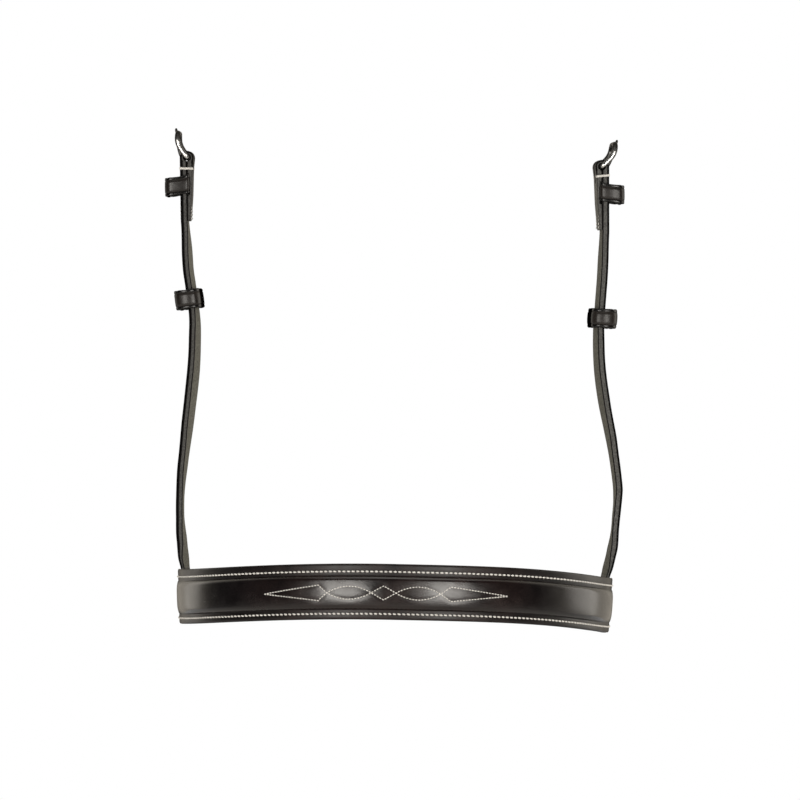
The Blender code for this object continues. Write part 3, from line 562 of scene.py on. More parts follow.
def thread_material(name, colour, shade):
    """Waxed twisted thread: slanting plies and a soft sheen."""
    paint = Paint(bpy.data.materials.new(name))
    bands = {"wave_type": "BANDS", "bands_direction": "DIAGONAL", "Scale": 900.0, "Distortion": 1.2}
    twist = paint.add("ShaderNodeTexWave", paint.place(), **bands).outputs["Fac"]
    soil = paint.noise(240.0, 3.0, 0.6)
    plies = paint.mix(paint.times(twist, 0.35), colour, shade)
    tone = paint.mix(paint.spread(soil, 0.0, 0.5, 0.45, 0.8), plies, shade)
    paint.bump((twist, 0.5, 0.08 * MM))
    paint.coat({"Base Color": tone, "Roughness": paint.spread(soil, 0.5, 0.7), "Sheen Weight": 0.25})
    return paint.made


def steel_material(name):
    """Polished stainless steel with faint hairlines and handling marks, painted shade toward its far ends, and
    painted dark outlines where it turns from the view.
    """
    paint = Paint(bpy.data.materials.new(name))
    marks = paint.noise(420.0, 5.0, 0.65)
    cloud = paint.spread(paint.noise(60.0, 2.0, 0.5), 0.0, 1.0, 0.35, 0.65)
    unshaded_steel = paint.mix(cloud, (0.72, 0.72, 0.70), (0.85, 0.85, 0.83))
    # Painted shade on the steel: darker at far ends, on the far arm and on the tongue, and rougher there too
    steel_shade = paint.attribute("steel_shade")
    wear_and_shade = paint.mix(steel_shade, unshaded_steel, (0.035, 0.034, 0.032))
    # Painted dark outline where the steel turns from the view
    rim_shade = paint.facing(0.10, 0.34)
    paint.bump((marks, 0.08, 0.04 * MM))
    paint.coat({
        "Base Color": paint.mix(rim_shade, wear_and_shade, (0.012, 0.012, 0.011)),
        "Metallic": paint.spread(rim_shade, 1.0, 0.15),
        "Specular IOR Level": paint.spread(rim_shade, 0.5, 0.05),
        "Roughness": paint.plus(paint.spread(marks, 0.14, 0.28, 0.3, 0.7), paint.times(steel_shade, 0.2)),
    })
    return paint.made


# Meshes


def make_piece(name, verts, faces, finish, tags=None, sharp=PIECE_SHARP):
    """A smooth mesh object from world points, with float attributes for its material."""
    mesh = bpy.data.meshes.new(name)
    mesh.from_pydata([tuple(v) for v in verts], [], faces)
    for key, values in (tags or {}).items():
        layer = mesh.attributes.new(key, "FLOAT", "POINT")
        layer.data.foreach_set("value", np.array(values, np.float32))
    work = bmesh.new()
    work.from_mesh(mesh)
    bmesh.ops.recalc_face_normals(work, faces=work.faces)
    work.to_mesh(mesh)
    work.free()
    mesh.materials.append(finish)
    mesh.shade_smooth()
    mesh.set_sharp_from_angle(angle=sharp)
    obj = bpy.data.objects.new(name, mesh)
    bpy.context.scene.collection.objects.link(obj)
    return obj


def dress(piece, body, node):
    """Tie a piece to its body and the solid that it replaces."""
    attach(piece, body)
    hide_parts(node)


def loft_data(rings, closed=False):
    """Points and faces that join equal rings, capped unless they close into a loop."""
    size = len(rings[0])
    verts = [point for ring in rings for point in ring]
    faces = []
    for index in range(len(rings) if closed else len(rings) - 1):
        near = index * size
        far = ((index + 1) % len(rings)) * size
        for corner in range(size):
            following = (corner + 1) % size
            faces.append((near + corner, near + following, far + following, far + corner))
    if not closed:
        faces.append(tuple(reversed(range(size))))
        faces.append(tuple(range(len(verts) - size, len(verts))))
    return verts, faces


def loft(name, rings, finish, tags=None, closed=False, sharp=PIECE_SHARP):
    verts, faces = loft_data(rings, closed)
    return make_piece(name, verts, faces, finish, tags, sharp)


def strip_profile(half, thick, dome=EDGE_DOME, creased=True, bevel=PLAIN_BEVEL, wear=1.0, backs=(0.0, 0.0)):
    """A strip's section as (across, outward, edge tag), its outer face at 0 and its inner one at -thick.

    The tag is 0 on the face, 1 on the worn edge, 2 on the flesh side and -1 on a bevel that gets painted
    shade.
    """
    dome = min(dome, half / 3, thick * 0.45)
    flat = half - dome
    mark = half - CREASE_INSET

    def face(level, sign, marked, tag):
        places = [-flat, -mark - CREASE_WIDTH, -mark, -mark + CREASE_WIDTH, -half * 0.35, 0.0]
        places += [-p for p in reversed(places[:-1])]
        row = []
        for p in places:
            groove = CREASE_DEPTH if marked and abs(abs(p) - mark) < CREASE_WIDTH / 2 else 0.0
            row.append((p * sign, level - groove * sign, tag))
        return row

    def edge(sign):
        near = min(bevel, thick * 0.5)
        far = min(INNER_BEVEL, thick * 0.2)
        depths = (BEVEL_SKIN, near * 0.5, near * 0.85, near, near + BEVEL_FADE, (thick + near - far) / 2)
        depths += (thick - far - BEVEL_FADE, thick - far, thick - far * 0.5, thick - BEVEL_SKIN)
        # Wide bevels are tagged -1 for painted shade
        bevel_shade = 0.0 if bevel < SHADED_BEVEL else -1.0
        tags = (bevel_shade, bevel_shade, bevel_shade, bevel_shade * 0.3, wear, wear, wear, bevel_shade * 0.3, bevel_shade, 0.0)
        row = []
        for depth, tag in zip(depths, tags):
            bulge = (1.0 - abs(2 * depth / thick - 1) ** 3.2) ** 0.6
            row.append((sign * (flat + dome * bulge), -depth, tag))
        return row if sign > 0 else row[::-1]

    outer = face(0.0, 1.0, creased, backs[0])
    inner = face(-thick, -1.0, False, backs[1])
    return outer + edge(1.0) + inner + edge(-1.0)


class Strip:
    """The rings of a strip to be lofted, with the edge tag of each of their points."""

    def __init__(self):
        self.rings = []
        self.tags = []

    def add(self, outer, out, across, profile):
        self.rings.append([outer + across * u + out * v for u, v, _ in profile])
        self.tags += [tag for _, _, tag in profile]

    def piece(self, name, finish, **values):
        return loft(name, self.rings, finish, {"edge": self.tags}, **values)


def wire_rings(path, radii, side, closed=False, sides=WIRE_SIDES):
    rings = []
    count = len(path)
    for index, point in enumerate(path):
        before = path[index - 1] if closed or index else point
        after = path[(index + 1) % count] if closed or index < count - 1 else point
        ahead = (after - before).normalized()
        first = (side - ahead * side.dot(ahead)).normalized()
        second = ahead.cross(first)
        radius = radii[index] if isinstance(radii, (list, tuple)) else radii
        turn = [2 * pi * (corner + 0.5) / sides for corner in range(sides)]
        rings.append([point + (first * cos(a) + second * sin(a)) * radius for a in turn])
    return rings


def round_corners(corners, radii):
    """The arcs that round every corner but the first and the last."""
    arcs = []
    for before, corner, after, radius in zip(corners, corners[1:], corners[2:], radii):
        back = (before - corner).normalized()
        ahead = (after - corner).normalized()
        half_turn = back.angle(ahead) / 2
        centre = corner + (back + ahead).normalized() * (radius / sin(half_turn))
        reach = radius / tan(half_turn)
        start = corner + back * reach - centre
        end = corner + ahead * reach - centre
        sweep = start.angle(end)
        axis = start.cross(end).normalized()
        turns = [Matrix.Rotation(sweep * step / CORNER_STEPS, 3, axis) for step in range(CORNER_STEPS + 1)]
        arcs.append([centre + turn @ start for turn in turns])
    return arcs


def join_arcs(arcs, steps):
    """One path through the arcs, with even steps along the straight part after each of them."""
    path = []
    for arc, following, count in zip(arcs, arcs[1:] + arcs[:1], steps):
        path += arc
        path += [arc[-1].lerp(following[0], step / count) for step in range(1, count)]
    return path


def carve(obj, outlines, finish):
    """Cut the shape between two outlines out of a piece, and keep the result as its mesh."""
    cutter = loft(obj.name + "_cut", outlines, finish)
    boolean = obj.modifiers.new("cut", "BOOLEAN")
    boolean.operation = "DIFFERENCE"
    boolean.solver = "EXACT"
    boolean.object = cutter
    bpy.context.view_layer.update()
    made = bpy.data.meshes.new_from_object(obj.evaluated_get(bpy.context.evaluated_depsgraph_get()))
    obj.modifiers.clear()
    obj.data = made
    bpy.data.objects.remove(cutter, do_unlink=True)


# Stitches


def stitch(start, end, out, radius, arch):
    """One stitch: a short round thread that rises out of the leather and goes back in."""
    path = []
    sizes = []
    for step in range(STITCH_STEPS + 1):
        share = step / STITCH_STEPS
        off = abs(2 * share - 1)
        path.append(start.lerp(end, share) + out * (arch * (1.0 - off ** 4) - radius * 0.6 * off ** 6))
        sizes.append(radius * (1.0 - 0.45 * off ** 4))
    return wire_rings(path, sizes, out, sides=6)


def join_threads(name, threads, finish):
    """One piece from many threads, each given by its rings."""
    verts = []
    faces = []
    for rings in threads:
        offset = len(verts)
        thread_verts, thread_faces = loft_data(rings)
        verts += thread_verts
        faces += [tuple(offset + index for index in face) for face in thread_faces]
    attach(make_piece(name, verts, faces, finish), ROOT)


def stitch_row(name, places, finish, radius, arch, length, slant=0.0):
    """A row of stitches, each given by its middle, its direction and the surface's outward direction."""
    threads = []
    for middle, along, out in places:
        half = (along + along.cross(out) * slant) * (length / 2)
        threads.append(stitch(middle - half, middle + half, out, radius, arch))
    join_threads(name, threads, finish)


# The fancy pattern, as distances round the band and heights above its middle line


def fancy_paths():
    """The two stitched lines of the pattern: kite, leaf, diamond, leaf, kite."""
    knots = [distance_of(x * MM) for x in (-67.0, -39.3, -34.7, -12.1, 0.6, 23.4, 28.8, 57.9)]
    left_tip, left_wide, first, second, third, fourth, right_wide, right_tip = knots
    upper = [(left_tip, 0.0), (left_wide, 4.0 * MM), (first, 0.0)]
    upper += leaf(first, second, 3.35 * MM)
    upper += [((second + third) / 2, 3.6 * MM), (third, 0.0)]
    upper += leaf(third, fourth, 3.35 * MM)
    upper += [(right_wide, 3.75 * MM), (right_tip, 0.0)]
    return [upper, [(s, -w) for s, w in upper]]


def leaf(start, end, height):
    shares = [step / LEAF_STEPS for step in range(1, LEAF_STEPS + 1)]
    return [(start + (end - start) * share, height * sin(pi * share) ** 0.85) for share in shares]


def distance_of(x):
    """The distance round the band at which its front reaches a sideways place."""
    return copysign(distance_at(asin(abs(x) / (HOOP_HALF_WIDTH + FACE_FRONT))), x)


FANCY = fancy_paths()


def quilt(s, w):
    """How far the pattern's stitches press the raised leather down at each point, from 0 to 1."""
    best = np.full(s.shape, 1.0)
    for path in FANCY:
        for (s0, w0), (s1, w1) in zip(path, path[1:]):
            ds, dw = s1 - s0, w1 - w0
            share = np.clip(((s - s0) * ds + (w - w0) * dw) / (ds * ds + dw * dw), 0.0, 1.0)
            best = np.minimum(best, np.hypot(s - s0 - ds * share, w - w0 - dw * share))
    return np.exp(-(best / QUILT_REACH) ** 2 * 2.2)


# The band


def panel_height(distance, w):
    """The face leather's height above its margin at a height w across the band, before the quilting."""
    crease = band_half_width(distance) - BAND_MARGIN
    inside = crease - abs(w - PATTERN_SHIFT)
    if inside <= 0.0:
        return 0.0
    side = smoothstep((abs(distance) - RAISE_FRONT_REACH) / (RAISE_SIDE_START - RAISE_FRONT_REACH))
    shoulder = min(1.0, inside / (RAISE_SHOULDER * (1.6 + 1.6 * side)))
    rise = 1.0 - (1.0 - shoulder) ** 2.2
    crown = max(0.0, 1.0 - ((w - PATTERN_SHIFT) / crease) ** 2)
    return raise_height(distance) * (0.66 * rise + 0.34 * crown)


def row_groove(inset):
    return ROW_GROOVE * exp(-3.0 * ((inset - ROW_INSET) / ROW_GROOVE_WIDTH) ** 2)


def face_widths(distance):
    """Places across the face leather: its margins, its creases and the raised panel."""
    crease = band_half_width(distance) - BAND_MARGIN
    shares = [cos(pi * step / PANEL_STEPS) for step in range(PANEL_STEPS + 1)]
    upper = [crease + (BAND_MARGIN - PATTERN_SHIFT) * share for share in MARGIN_SHARES]
    panel = [crease * share for share in shares]
    lower = [-crease - (BAND_MARGIN + PATTERN_SHIFT) * share for share in reversed(MARGIN_SHARES)]
    return [PATTERN_SHIFT + place for place in upper + panel + lower]


def make_face(distances, finish):
    """The face leather, moulded over the core and pressed down along its stitches."""
    widths = np.array([face_widths(distance) for distance in distances])
    pressed = quilt(np.repeat(np.array(distances)[:, None], widths.shape[1], 1), widths - PATTERN_SHIFT)
    rings = []
    tags = {"edge": [], "panel": [], "warm": []}
    for i, distance in enumerate(distances):
        hoop = HoopFrame(angle_at(distance))
        half = band_half_width(distance)
        stitched = 0.775 + 0.225 * cos(2 * pi * distance / ROW_PITCH)
        ring = []
        for j, w in enumerate(widths[i]):
            height = panel_height(distance, w)
            inset = half - abs(w)
            from_middle = abs(w - PATTERN_SHIFT)
            level = FACE_FRONT + height - QUILT_DEPTH * pressed[i, j] * min(1.0, height / MM)
            level -= row_groove(half - from_middle) * stitched
            level -= PANEL_CREASE * exp(-((from_middle - half + BAND_MARGIN) / PANEL_CREASE_WIDTH) ** 2)
            level -= FACE_ROUNDING * max(0.0, 1.0 - inset / FACE_ROUNDING_WIDTH) ** 2
            ring.append(hoop.place(level, w))
            tags["edge"].append(1.0 if inset < FACE_EDGE_WIDTH else 0.0)
            tags["panel"].append(smoothstep(height / PANEL_MARK_HEIGHT))
        tags["warm"] += [1.0 - smoothstep((abs(distance) - WARM_REACH) / WARM_FADE)] * len(ring)
        side = FACE_BACK + FACE_THICKNESS * 0.35
        back = half - FACE_BACK_INSET
        corners = ((side, -half), (FACE_BACK, -back), (FACE_BACK, 0.0), (FACE_BACK, back), (side, half))
        rings.append(ring + [hoop.place(level, w) for level, w in corners])
        for key, value in (("edge", 1.0), ("panel", 0.0), ("warm", 0.0)):
            tags[key] += [value] * len(corners)
    face = loft("band_face", rings, finish, tags, sharp=BAND_SHARP)
    dress(face, ROOT, "face_leather")


def make_lining(distances, finish):
    """The lining, let down where straps go in, and grooved under its stitches."""
    strip = Strip()
    for distance in distances:
        hoop = HoopFrame(angle_at(distance))
        half = band_half_width(distance)
        profile = []
        for u, v, tag in strip_profile(half, LINING_THICKNESS, LINING_DOME, False):
            groove = row_groove(half - abs(u)) if v <= -LINING_THICKNESS * 0.9 else 0.0
            profile.append((u, v + groove, tag))
        strip.add(hoop.place(LINING_THICKNESS - lining_drop(distance), 0.0), hoop.normal, hoop.up, profile)
    lining = strip.piece("band_lining", finish, sharp=BAND_SHARP)
    dress(lining, ROOT, "lining_leather")


def band_point(distance, w, inner=False):
    """A point on the band's face or lining with its along and outward directions."""
    hoop = HoopFrame(angle_at(distance))
    if inner:
        return hoop.place(-lining_drop(distance), w), hoop.tangent, hoop.normal * -1.0
    level = FACE_FRONT + panel_height(distance, w)
    rise = panel_height(distance, w + SLOPE_STEP) - panel_height(distance, w - SLOPE_STEP)
    slope = rise / (2 * SLOPE_STEP)
    out = (hoop.normal - hoop.up * slope).normalized()
    return hoop.place(level, w), hoop.tangent, out


def band_stitches(finish):
    """The two long rows on both sides of the band, and the fancy pattern."""
    count = int((BAND_LENGTH - 2 * ROW_END_ROOM) / ROW_PITCH)
    for side, label, slant in ((1.0, "upper", 0.06), (-1.0, "lower", 0.2)):
        outer = []
        inner = []
        for i in range(count):
            distance = (i - (count - 1) / 2) * ROW_PITCH
            w = side * (band_half_width(distance) - ROW_INSET) + PATTERN_SHIFT
            for row, depth in ((outer, 0.7), (inner, 0.6)):
                point, along, out = band_point(distance, w, row is inner)
                row.append((point - out * (ROW_GROOVE * depth), along, out))
        stitch_row(f"{label}_stitches", outer, finish, ROW_THREAD, ROW_ARCH, ROW_STITCH, slant)
        name = f"{label}_lining_stitches"
        stitch_row(name, inner, finish, LINING_ROW_THREAD, LINING_ROW_ARCH, ROW_STITCH, -0.12)
    for line, label in zip(FANCY, ("first", "second")):
        places = []
        for distance, w, ds, dw in walk(line, FANCY_PITCH):
            point, _, out = band_point(distance, w + PATTERN_SHIFT)
            hoop = HoopFrame(angle_at(distance))
            direction = (hoop.tangent * ds + hoop.up * dw).normalized()
            direction = (direction - out * direction.dot(out)).normalized()
            places.append((point - out * (QUILT_DEPTH * 0.85), direction, out))
        stitch_row(f"fancy_{label}_line", places, finish, FANCY_THREAD, FANCY_ARCH, FANCY_STITCH)


def walk(path, pitch):
    """Evenly spaced places along a line of points, with their directions."""
    points = np.array(path)
    steps = np.hypot(*(points[1:] - points[:-1]).T)
    lengths = np.concatenate([[0.0], np.cumsum(steps)])
    count = round(lengths[-1] / pitch)
    found = []
    for i in range(count):
        here = lengths[-1] * (i + 0.5) / count
        index = int(np.searchsorted(lengths, here)) - 1
        direction = (points[index + 1] - points[index]) / steps[index]
        place = points[index] + direction * (here - lengths[index])
        found.append((*place.tolist(), *direction.tolist()))
    return found


# Turned-back strap ends


class StrapEnd:
    """Where a strap ends at a buckle: the bar's centre, the directions there, and which buckle it is."""

    def __init__(self, face_point, along, outward, side, prefix):
        self.along = along.normalized()
        self.outward = (outward - self.along * outward.dot(self.along)).normalized()
        self.across = self.along.cross(self.outward) * side
        self.bar = face_point - self.outward * FOLD_OUTER_RADIUS
        self.prefix = prefix

    def place(self, outward, along):
        return self.bar + self.outward * outward + self.along * along


def skived_thickness(distance):
    return SEWN_THICKNESS + (STRAP_THICKNESS - SEWN_THICKNESS) * smoothstep(distance / SKIVE_LENGTH)


def fold_pairs(end):
    """Outer and inner points from the neck, round the bar and back down the tail to its end."""
    pairs = []
    for step in range(NECK_STEPS + 1):
        down = FOLD_NECK * (1.0 - step / NECK_STEPS)
        hollow = max(0.0, FOLD_INNER_RADIUS ** 2 - down ** 2) ** 0.5
        pairs.append((end.place(FOLD_OUTER_RADIUS, -down), end.place(max(SEAM, hollow), -down)))
    for step in range(1, FOLD_STEPS + 1):
        angle = pi * step / FOLD_STEPS
        direction = end.outward * cos(angle) + end.along * sin(angle)
        outer = FOLD_OUTER_RADIUS - FOLD_THINNING * smoothstep(step / FOLD_STEPS)
        pairs.append((end.bar + direction * outer, end.bar + direction * FOLD_INNER_RADIUS))
    for step in range(1, TAIL_STEPS + 1):
        down = TAIL_LENGTH * step / TAIL_STEPS
        inner = SEAM - SEAM_GAP
        if down < FOLD_INNER_RADIUS:
            inner = -(FOLD_INNER_RADIUS ** 2 - down ** 2) ** 0.5
        elif KEEPER_NEAR < down < KEEPER_FAR:
            inner = KEEPER_SEAM_BACK - LAYER_GAP
        pairs.append((end.place(float(np.interp(down, *zip(*TAIL_BACK))), -down), end.place(inner, -down)))
    return pairs


def add_fold(strip, end, across, half):
    """Carry a strip round its buckle's bar and down its tail."""
    for index, (outer, inner) in enumerate(fold_pairs(end)):
        back = smoothstep((index - NECK_STEPS - 1 - FOLD_STEPS * 0.7) / FOLD_STEPS)
        through = outer - inner
        bevel = OUTER_BEVEL[end.prefix] * (1.0 - 0.85 * back)
        backs = (TAIL_FACE[end.prefix] * back, 0.0)
        profile = strip_profile(half, through.length, bevel=bevel, wear=EDGE_WEAR[end.prefix], backs=backs)
        strip.add(outer, through.normalized(), across, profile)


def slot_cut(strap, end, finish):
    """Cut the tongue's slot through the fold."""
    half = SLOT_WIDTH / 2
    reach = FOLD_OUTER_RADIUS + CUT_OVERRUN
    outline = [(half, reach), (-half, reach)]
    for step in range(SLOT_STEPS + 1):
        angle = pi + pi * step / SLOT_STEPS
        outline.append((half * cos(angle), half - SLOT_REACH + half * sin(angle)))
    near = [end.place(reach, v) + end.across * u for u, v in outline]
    far = [end.place(-reach, v) + end.across * u for u, v in outline]
    carve(strap, (near, far), finish)


def strip_loop(name, path, along, middle, half, finish, bulge, foot=0.0, foot_out=None):
    """A keeper or runner: a creased strip bent round a path, with darker borders outside its creases.

    A keeper is open, and its ends are feet of another thickness that lie flat in the strap.
    """
    border = half - CREASE_INSET + CREASE_WIDTH / 2
    closed = not foot
    count = len(path)
    rings = []
    tags = []
    for index, point in enumerate(path):
        from_end = count if closed else min(index, count - 1 - index)
        before = path[index - 1] if closed or index else point
        after = path[(index + 1) % count] if closed or index < count - 1 else point
        out = along.cross(after - before).normalized()
        if out.dot(point - middle) < 0:
            out = -out
        thick = KEEPER_THICKNESS
        if from_end < FOOT_STEPS:
            out = -foot_out
            thick = foot
        elif from_end < FOOT_STEPS + CORNER_STEPS:
            thick = foot + (thick - foot) * (from_end - FOOT_STEPS) / CORNER_STEPS
        flare = FOOT_FLARE * smoothstep(1.0 - from_end / FLARE_STEPS)
        ring = []
        for u, v, tag in strip_profile(half, thick, LOOP_DOME):
            share = u / half
            wave = LOOP_WOBBLE * sin(index * 0.83 + share * 1.9) * share ** 2 + flare * max(0.0, share)
            bow = bulge * (0.5 - share ** 2)
            ring.append(point + out * (thick / 2 + v + bow) + along * (u + wave))
            tags.append(max(tag, 1.0 if abs(u) > border else 0.0))
        rings.append(ring)
    return loft(name, rings, finish, {"edge": tags}, closed=closed)


def make_keeper(name, end, finish):
    """A fixed keeper: its feet are sewn in behind the strap, and its loop stands in front."""
    half = STRAP_WIDTH / 2 + LAYER_GAP + KEEPER_THICKNESS / 2
    tip = KEEPER_END_GAP / 2
    top_face = SEAM - SEAM_GAP
    foot = top_face - (KEEPER_SEAM_BACK - LAYER_GAP + SEAM_GAP)
    seam = top_face - foot / 2
    top = FOLD_OUTER_RADIUS + KEEPER_ROOM + KEEPER_THICKNESS / 2
    centre = end.bar - end.along * (KEEPER_SETBACK - KEEPER_RISE[end.prefix])
    layout = ((tip, seam), (half, seam), (half, top), (-half, top), (-half, seam), (-tip, seam))
    corners = [centre + end.across * u + end.outward * v for u, v in layout]
    turn_in = end.across * (STRAP_WIDTH / 2 - KEEPER_THICKNESS)
    level = centre + end.outward * seam
    arcs = round_corners(corners, (KEEPER_FOOT_CORNER, KEEPER_CORNER, KEEPER_CORNER, KEEPER_FOOT_CORNER))
    loop = join_arcs(arcs, (LOOP_STEPS, LOOP_STEPS, LOOP_STEPS, 1))
    path = [corners[0], level + turn_in, *loop, level - turn_in, corners[-1]]
    sag = end.along * (KEEPER_SAG / (top - seam))
    path = [point - sag * (point - corners[0]).dot(end.outward) for point in path]
    walls = centre + end.outward * ((top + seam) / 2)
    size = (half, (top - seam) / 2)
    for index in range(FOOT_STEPS + 1, len(path) - FOOT_STEPS - 1):
        bow = bowed_out(path[index] - walls, end.across, end.outward, size, KEEPER_BOW[end.prefix])
        path[index] = path[index] + bow
    middle = centre + end.outward * (FOLD_OUTER_RADIUS + KEEPER_ROOM / 2)
    keeper = strip_loop(
        name + "_leather", path, end.along, middle, KEEPER_WIDTH / 2, finish, KEEPER_BULGE, foot, end.outward,
    )
    dress(keeper, ROOT, name)


def bowed_out(offset, across, outward, size, bow):
    """How far a worn loop's walls bow outward at a place, most at the middle of each wall."""
    u = offset.dot(across) / size[0]
    v = offset.dot(outward) / size[1]
    sideways = u * (1.0 - min(1.0, abs(v)) ** 2)
    forward = v * TOP_BOW_SHARE * (1.0 - min(1.0, abs(u)) ** 2)
    return (across * sideways + outward * forward) * bow


def make_runner(name, body, face_point, along, outward, finish):
    """A sliding runner: a loose loop round its strap, a little turned by wear."""
    along = along.normalized()
    outward = (outward - along * outward.dot(along)).normalized()
    across = along.cross(outward)
    label = name.split("_")[0]
    slack = RUNNER_SLACK[label]
    half = STRAP_WIDTH / 2 + RUNNER_SIDE_ROOM + KEEPER_THICKNESS / 2
    top = RUNNER_OUTER_ROOM + KEEPER_THICKNESS / 2 - slack
    bottom = slack - STRAP_THICKNESS - RUNNER_INNER_ROOM - KEEPER_THICKNESS / 2
    layout = ((-half, bottom), (half, bottom), (half, top), (-half, top), (-half, bottom), (half, bottom))
    arcs = round_corners([face_point + across * u + outward * v for u, v in layout], [KEEPER_CORNER] * 4)
    middle = face_point + outward * ((top + bottom) / 2)
    size = (half, (top - bottom) / 2)
    yaw = Matrix.Rotation(RUNNER_YAW[label] * (1.0 if outward.x > 0.0 else -1.0), 3, "Z")
    path = []
    for point in join_arcs(arcs, [LOOP_STEPS] * 4):
        offset = point - middle
        path.append(middle + yaw @ (offset + bowed_out(offset, across, outward, size, WALL_BOW)))
    runner = strip_loop(name + "_leather", path, along, middle, RUNNER_WIDTH / 2, finish, RUNNER_BULGE[label])
    dress(runner, body, name)


# Buckles


def frame_outline():
    """The frame's centre line, flat: across in X, from the bar in Y."""
    half = STRAP_WIDTH / 2 + FRAME_SIDE_ROOM + WIRE_RADIUS
    far = FRAME_LENGTH
    layout = ((-half, 0.0), (half, 0.0), (half, far), (-half, far), (-half, 0.0), (half, 0.0))
    corners = [Vector((x, y, 0.0)) for x, y in layout]
    arcs = round_corners(corners, (BAR_CORNER, FRAME_CORNER, FRAME_CORNER, BAR_CORNER))
    return join_arcs(arcs, (12, 40, 12, 12))


def frame_radius(place):
    """The wire's radius, thinner at the bar and in the notch."""
    if place.y < FRAME_LENGTH / 2:
        return BAR_RADIUS + (WIRE_RADIUS - BAR_RADIUS) * smoothstep(place.y / WIRE_RADIUS)
    notch = smoothstep((abs(place.x) - NOTCH_HALF_WIDTH) / NOTCH_SHOULDER)
    return NOTCH_RADIUS + (WIRE_RADIUS - NOTCH_RADIUS) * notch


def far_end_shade(share):
    """Painted shade toward a buckle part's far end."""
    return smoothstep((share - 0.62) / 0.25)


def make_frame(end, length, face, finish):
    """The bowed wire frame with its bar and its notch for the tongue."""
    path = []
    sizes = []
    dark = []
    inward = 1.0 if end.across.y > 0.0 else -1.0
    for place in frame_outline():
        share = min(max(place.y / FRAME_LENGTH, 0.0), 1.0)
        bow = FRAME_BOW * sin(pi * share ** FRAME_BOW_POWER)
        size = frame_radius(place)
        sink = WIRE_RADIUS - size if share > 0.5 else 0.0
        path.append(end.bar + end.across * place.x + length * place.y + face * (bow - sink))
        sizes.append(size)
        # Painted shade on the frame's far arm
        far = FAR_ARM_SHADE * smoothstep(share * 4.0) if place.x * inward > 0.0 else 0.0
        dark += [max(far, far_end_shade(share))] * WIRE_SIDES
    rings = wire_rings(path, sizes, face, closed=True)
    frame_piece = loft(end.prefix + "_frame_steel", rings, finish, {"steel_shade": dark}, closed=True)
    dress(frame_piece, end.prefix + " buckle frame", end.prefix + "_buckle_frame")


def make_tongue(end, length, face, finish):
    """The tongue: a hook closed round the bar, and a stem that rests in the notch."""
    ring = BAR_RADIUS + TONGUE_GAP + TONGUE_RADIUS
    over = NOTCH_RADIUS * 2 - WIRE_RADIUS + TONGUE_GAP + TONGUE_TIP_RADIUS
    flat = []
    for step in range(HOOK_STEPS + 1):
        angle = HOOK_TURN * (1.0 - step / HOOK_STEPS)
        flat.append(Vector((-sin(angle) * ring, cos(angle) * ring)))
    layout = (
        (FRAME_LENGTH * 0.3, ring + TONGUE_ARCH), (FRAME_LENGTH * 0.7, (over + ring) / 2 + TONGUE_ARCH),
        (FRAME_LENGTH, over), (FRAME_LENGTH + TONGUE_OVERHANG * 0.6, over - TONGUE_TIP_DROP * 0.5),
        (FRAME_LENGTH + TONGUE_OVERHANG, over - TONGUE_TIP_DROP),
    )
    flat += spline([flat[-1], *(Vector(place) for place in layout)], STEM_STEPS)[1:]
    path = [end.bar + length * p.x + face * p.y for p in flat]
    sizes = []
    dark = []
    for p in flat:
        thin = smoothstep((p.x / FRAME_LENGTH - 0.65) / 0.33)
        tip = max(0.0, (p.x - FRAME_LENGTH - TONGUE_OVERHANG * 0.7) / (TONGUE_OVERHANG * 0.3))
        size = TONGUE_RADIUS + (TONGUE_TIP_RADIUS - TONGUE_RADIUS) * thin
        sizes.append(size * (1.0 - 0.55 * tip ** 2))
        # Painted shade over the whole tongue, deepest toward its far end
        dark += [max(TONGUE_SHADE, far_end_shade(p.x / FRAME_LENGTH))] * WIRE_SIDES
    rings = wire_rings(path, sizes, end.across)
    tongue = loft(end.prefix + "_tongue_steel", rings, finish, {"steel_shade": dark})
    dress(tongue, end.prefix + " buckle tongue", end.prefix + "_buckle_tongue")


def make_buckle(end, lean, finish):
    turn = Matrix.Rotation(lean, 3, end.along.cross(end.outward))
    length = turn @ end.along
    face = turn @ end.outward
    make_frame(end, length, face, finish)
    make_tongue(end, length, face, finish)


def thread_bar(end, across, side, turn):
    """One thread bar: out of the strap's front, over its edge and into its back."""
    half = STRAP_WIDTH / 2
    back = KEEPER_SEAM_BACK - LAYER_GAP - TAIL_THICKNESS
    down = BARS_RISE[end.prefix] - FOLD_NECK + THREAD_BAR_LIFT - turn * THREAD_BAR_PITCH
    tilt = BARS_TILT[end.prefix] / FOLD_OUTER_RADIUS
    front_places = [(half + u * MM, FOLD_OUTER_RADIUS + v * MM) for u, v in THREAD_BAR_ROUTE]
    back_places = [(half + u * MM, back - v * MM) for u, v in reversed(THREAD_BAR_ROUTE)]
    layout = [*front_places, (half + THREAD_BAR_REACH, 0.0), *back_places]
    corners = [end.place(v, down + tilt * v) + across * (side * u) for u, v in layout]
    return wire_rings(spline(corners, THREAD_BAR_STEPS), THREAD_BAR_RADIUS, end.along, sides=8)


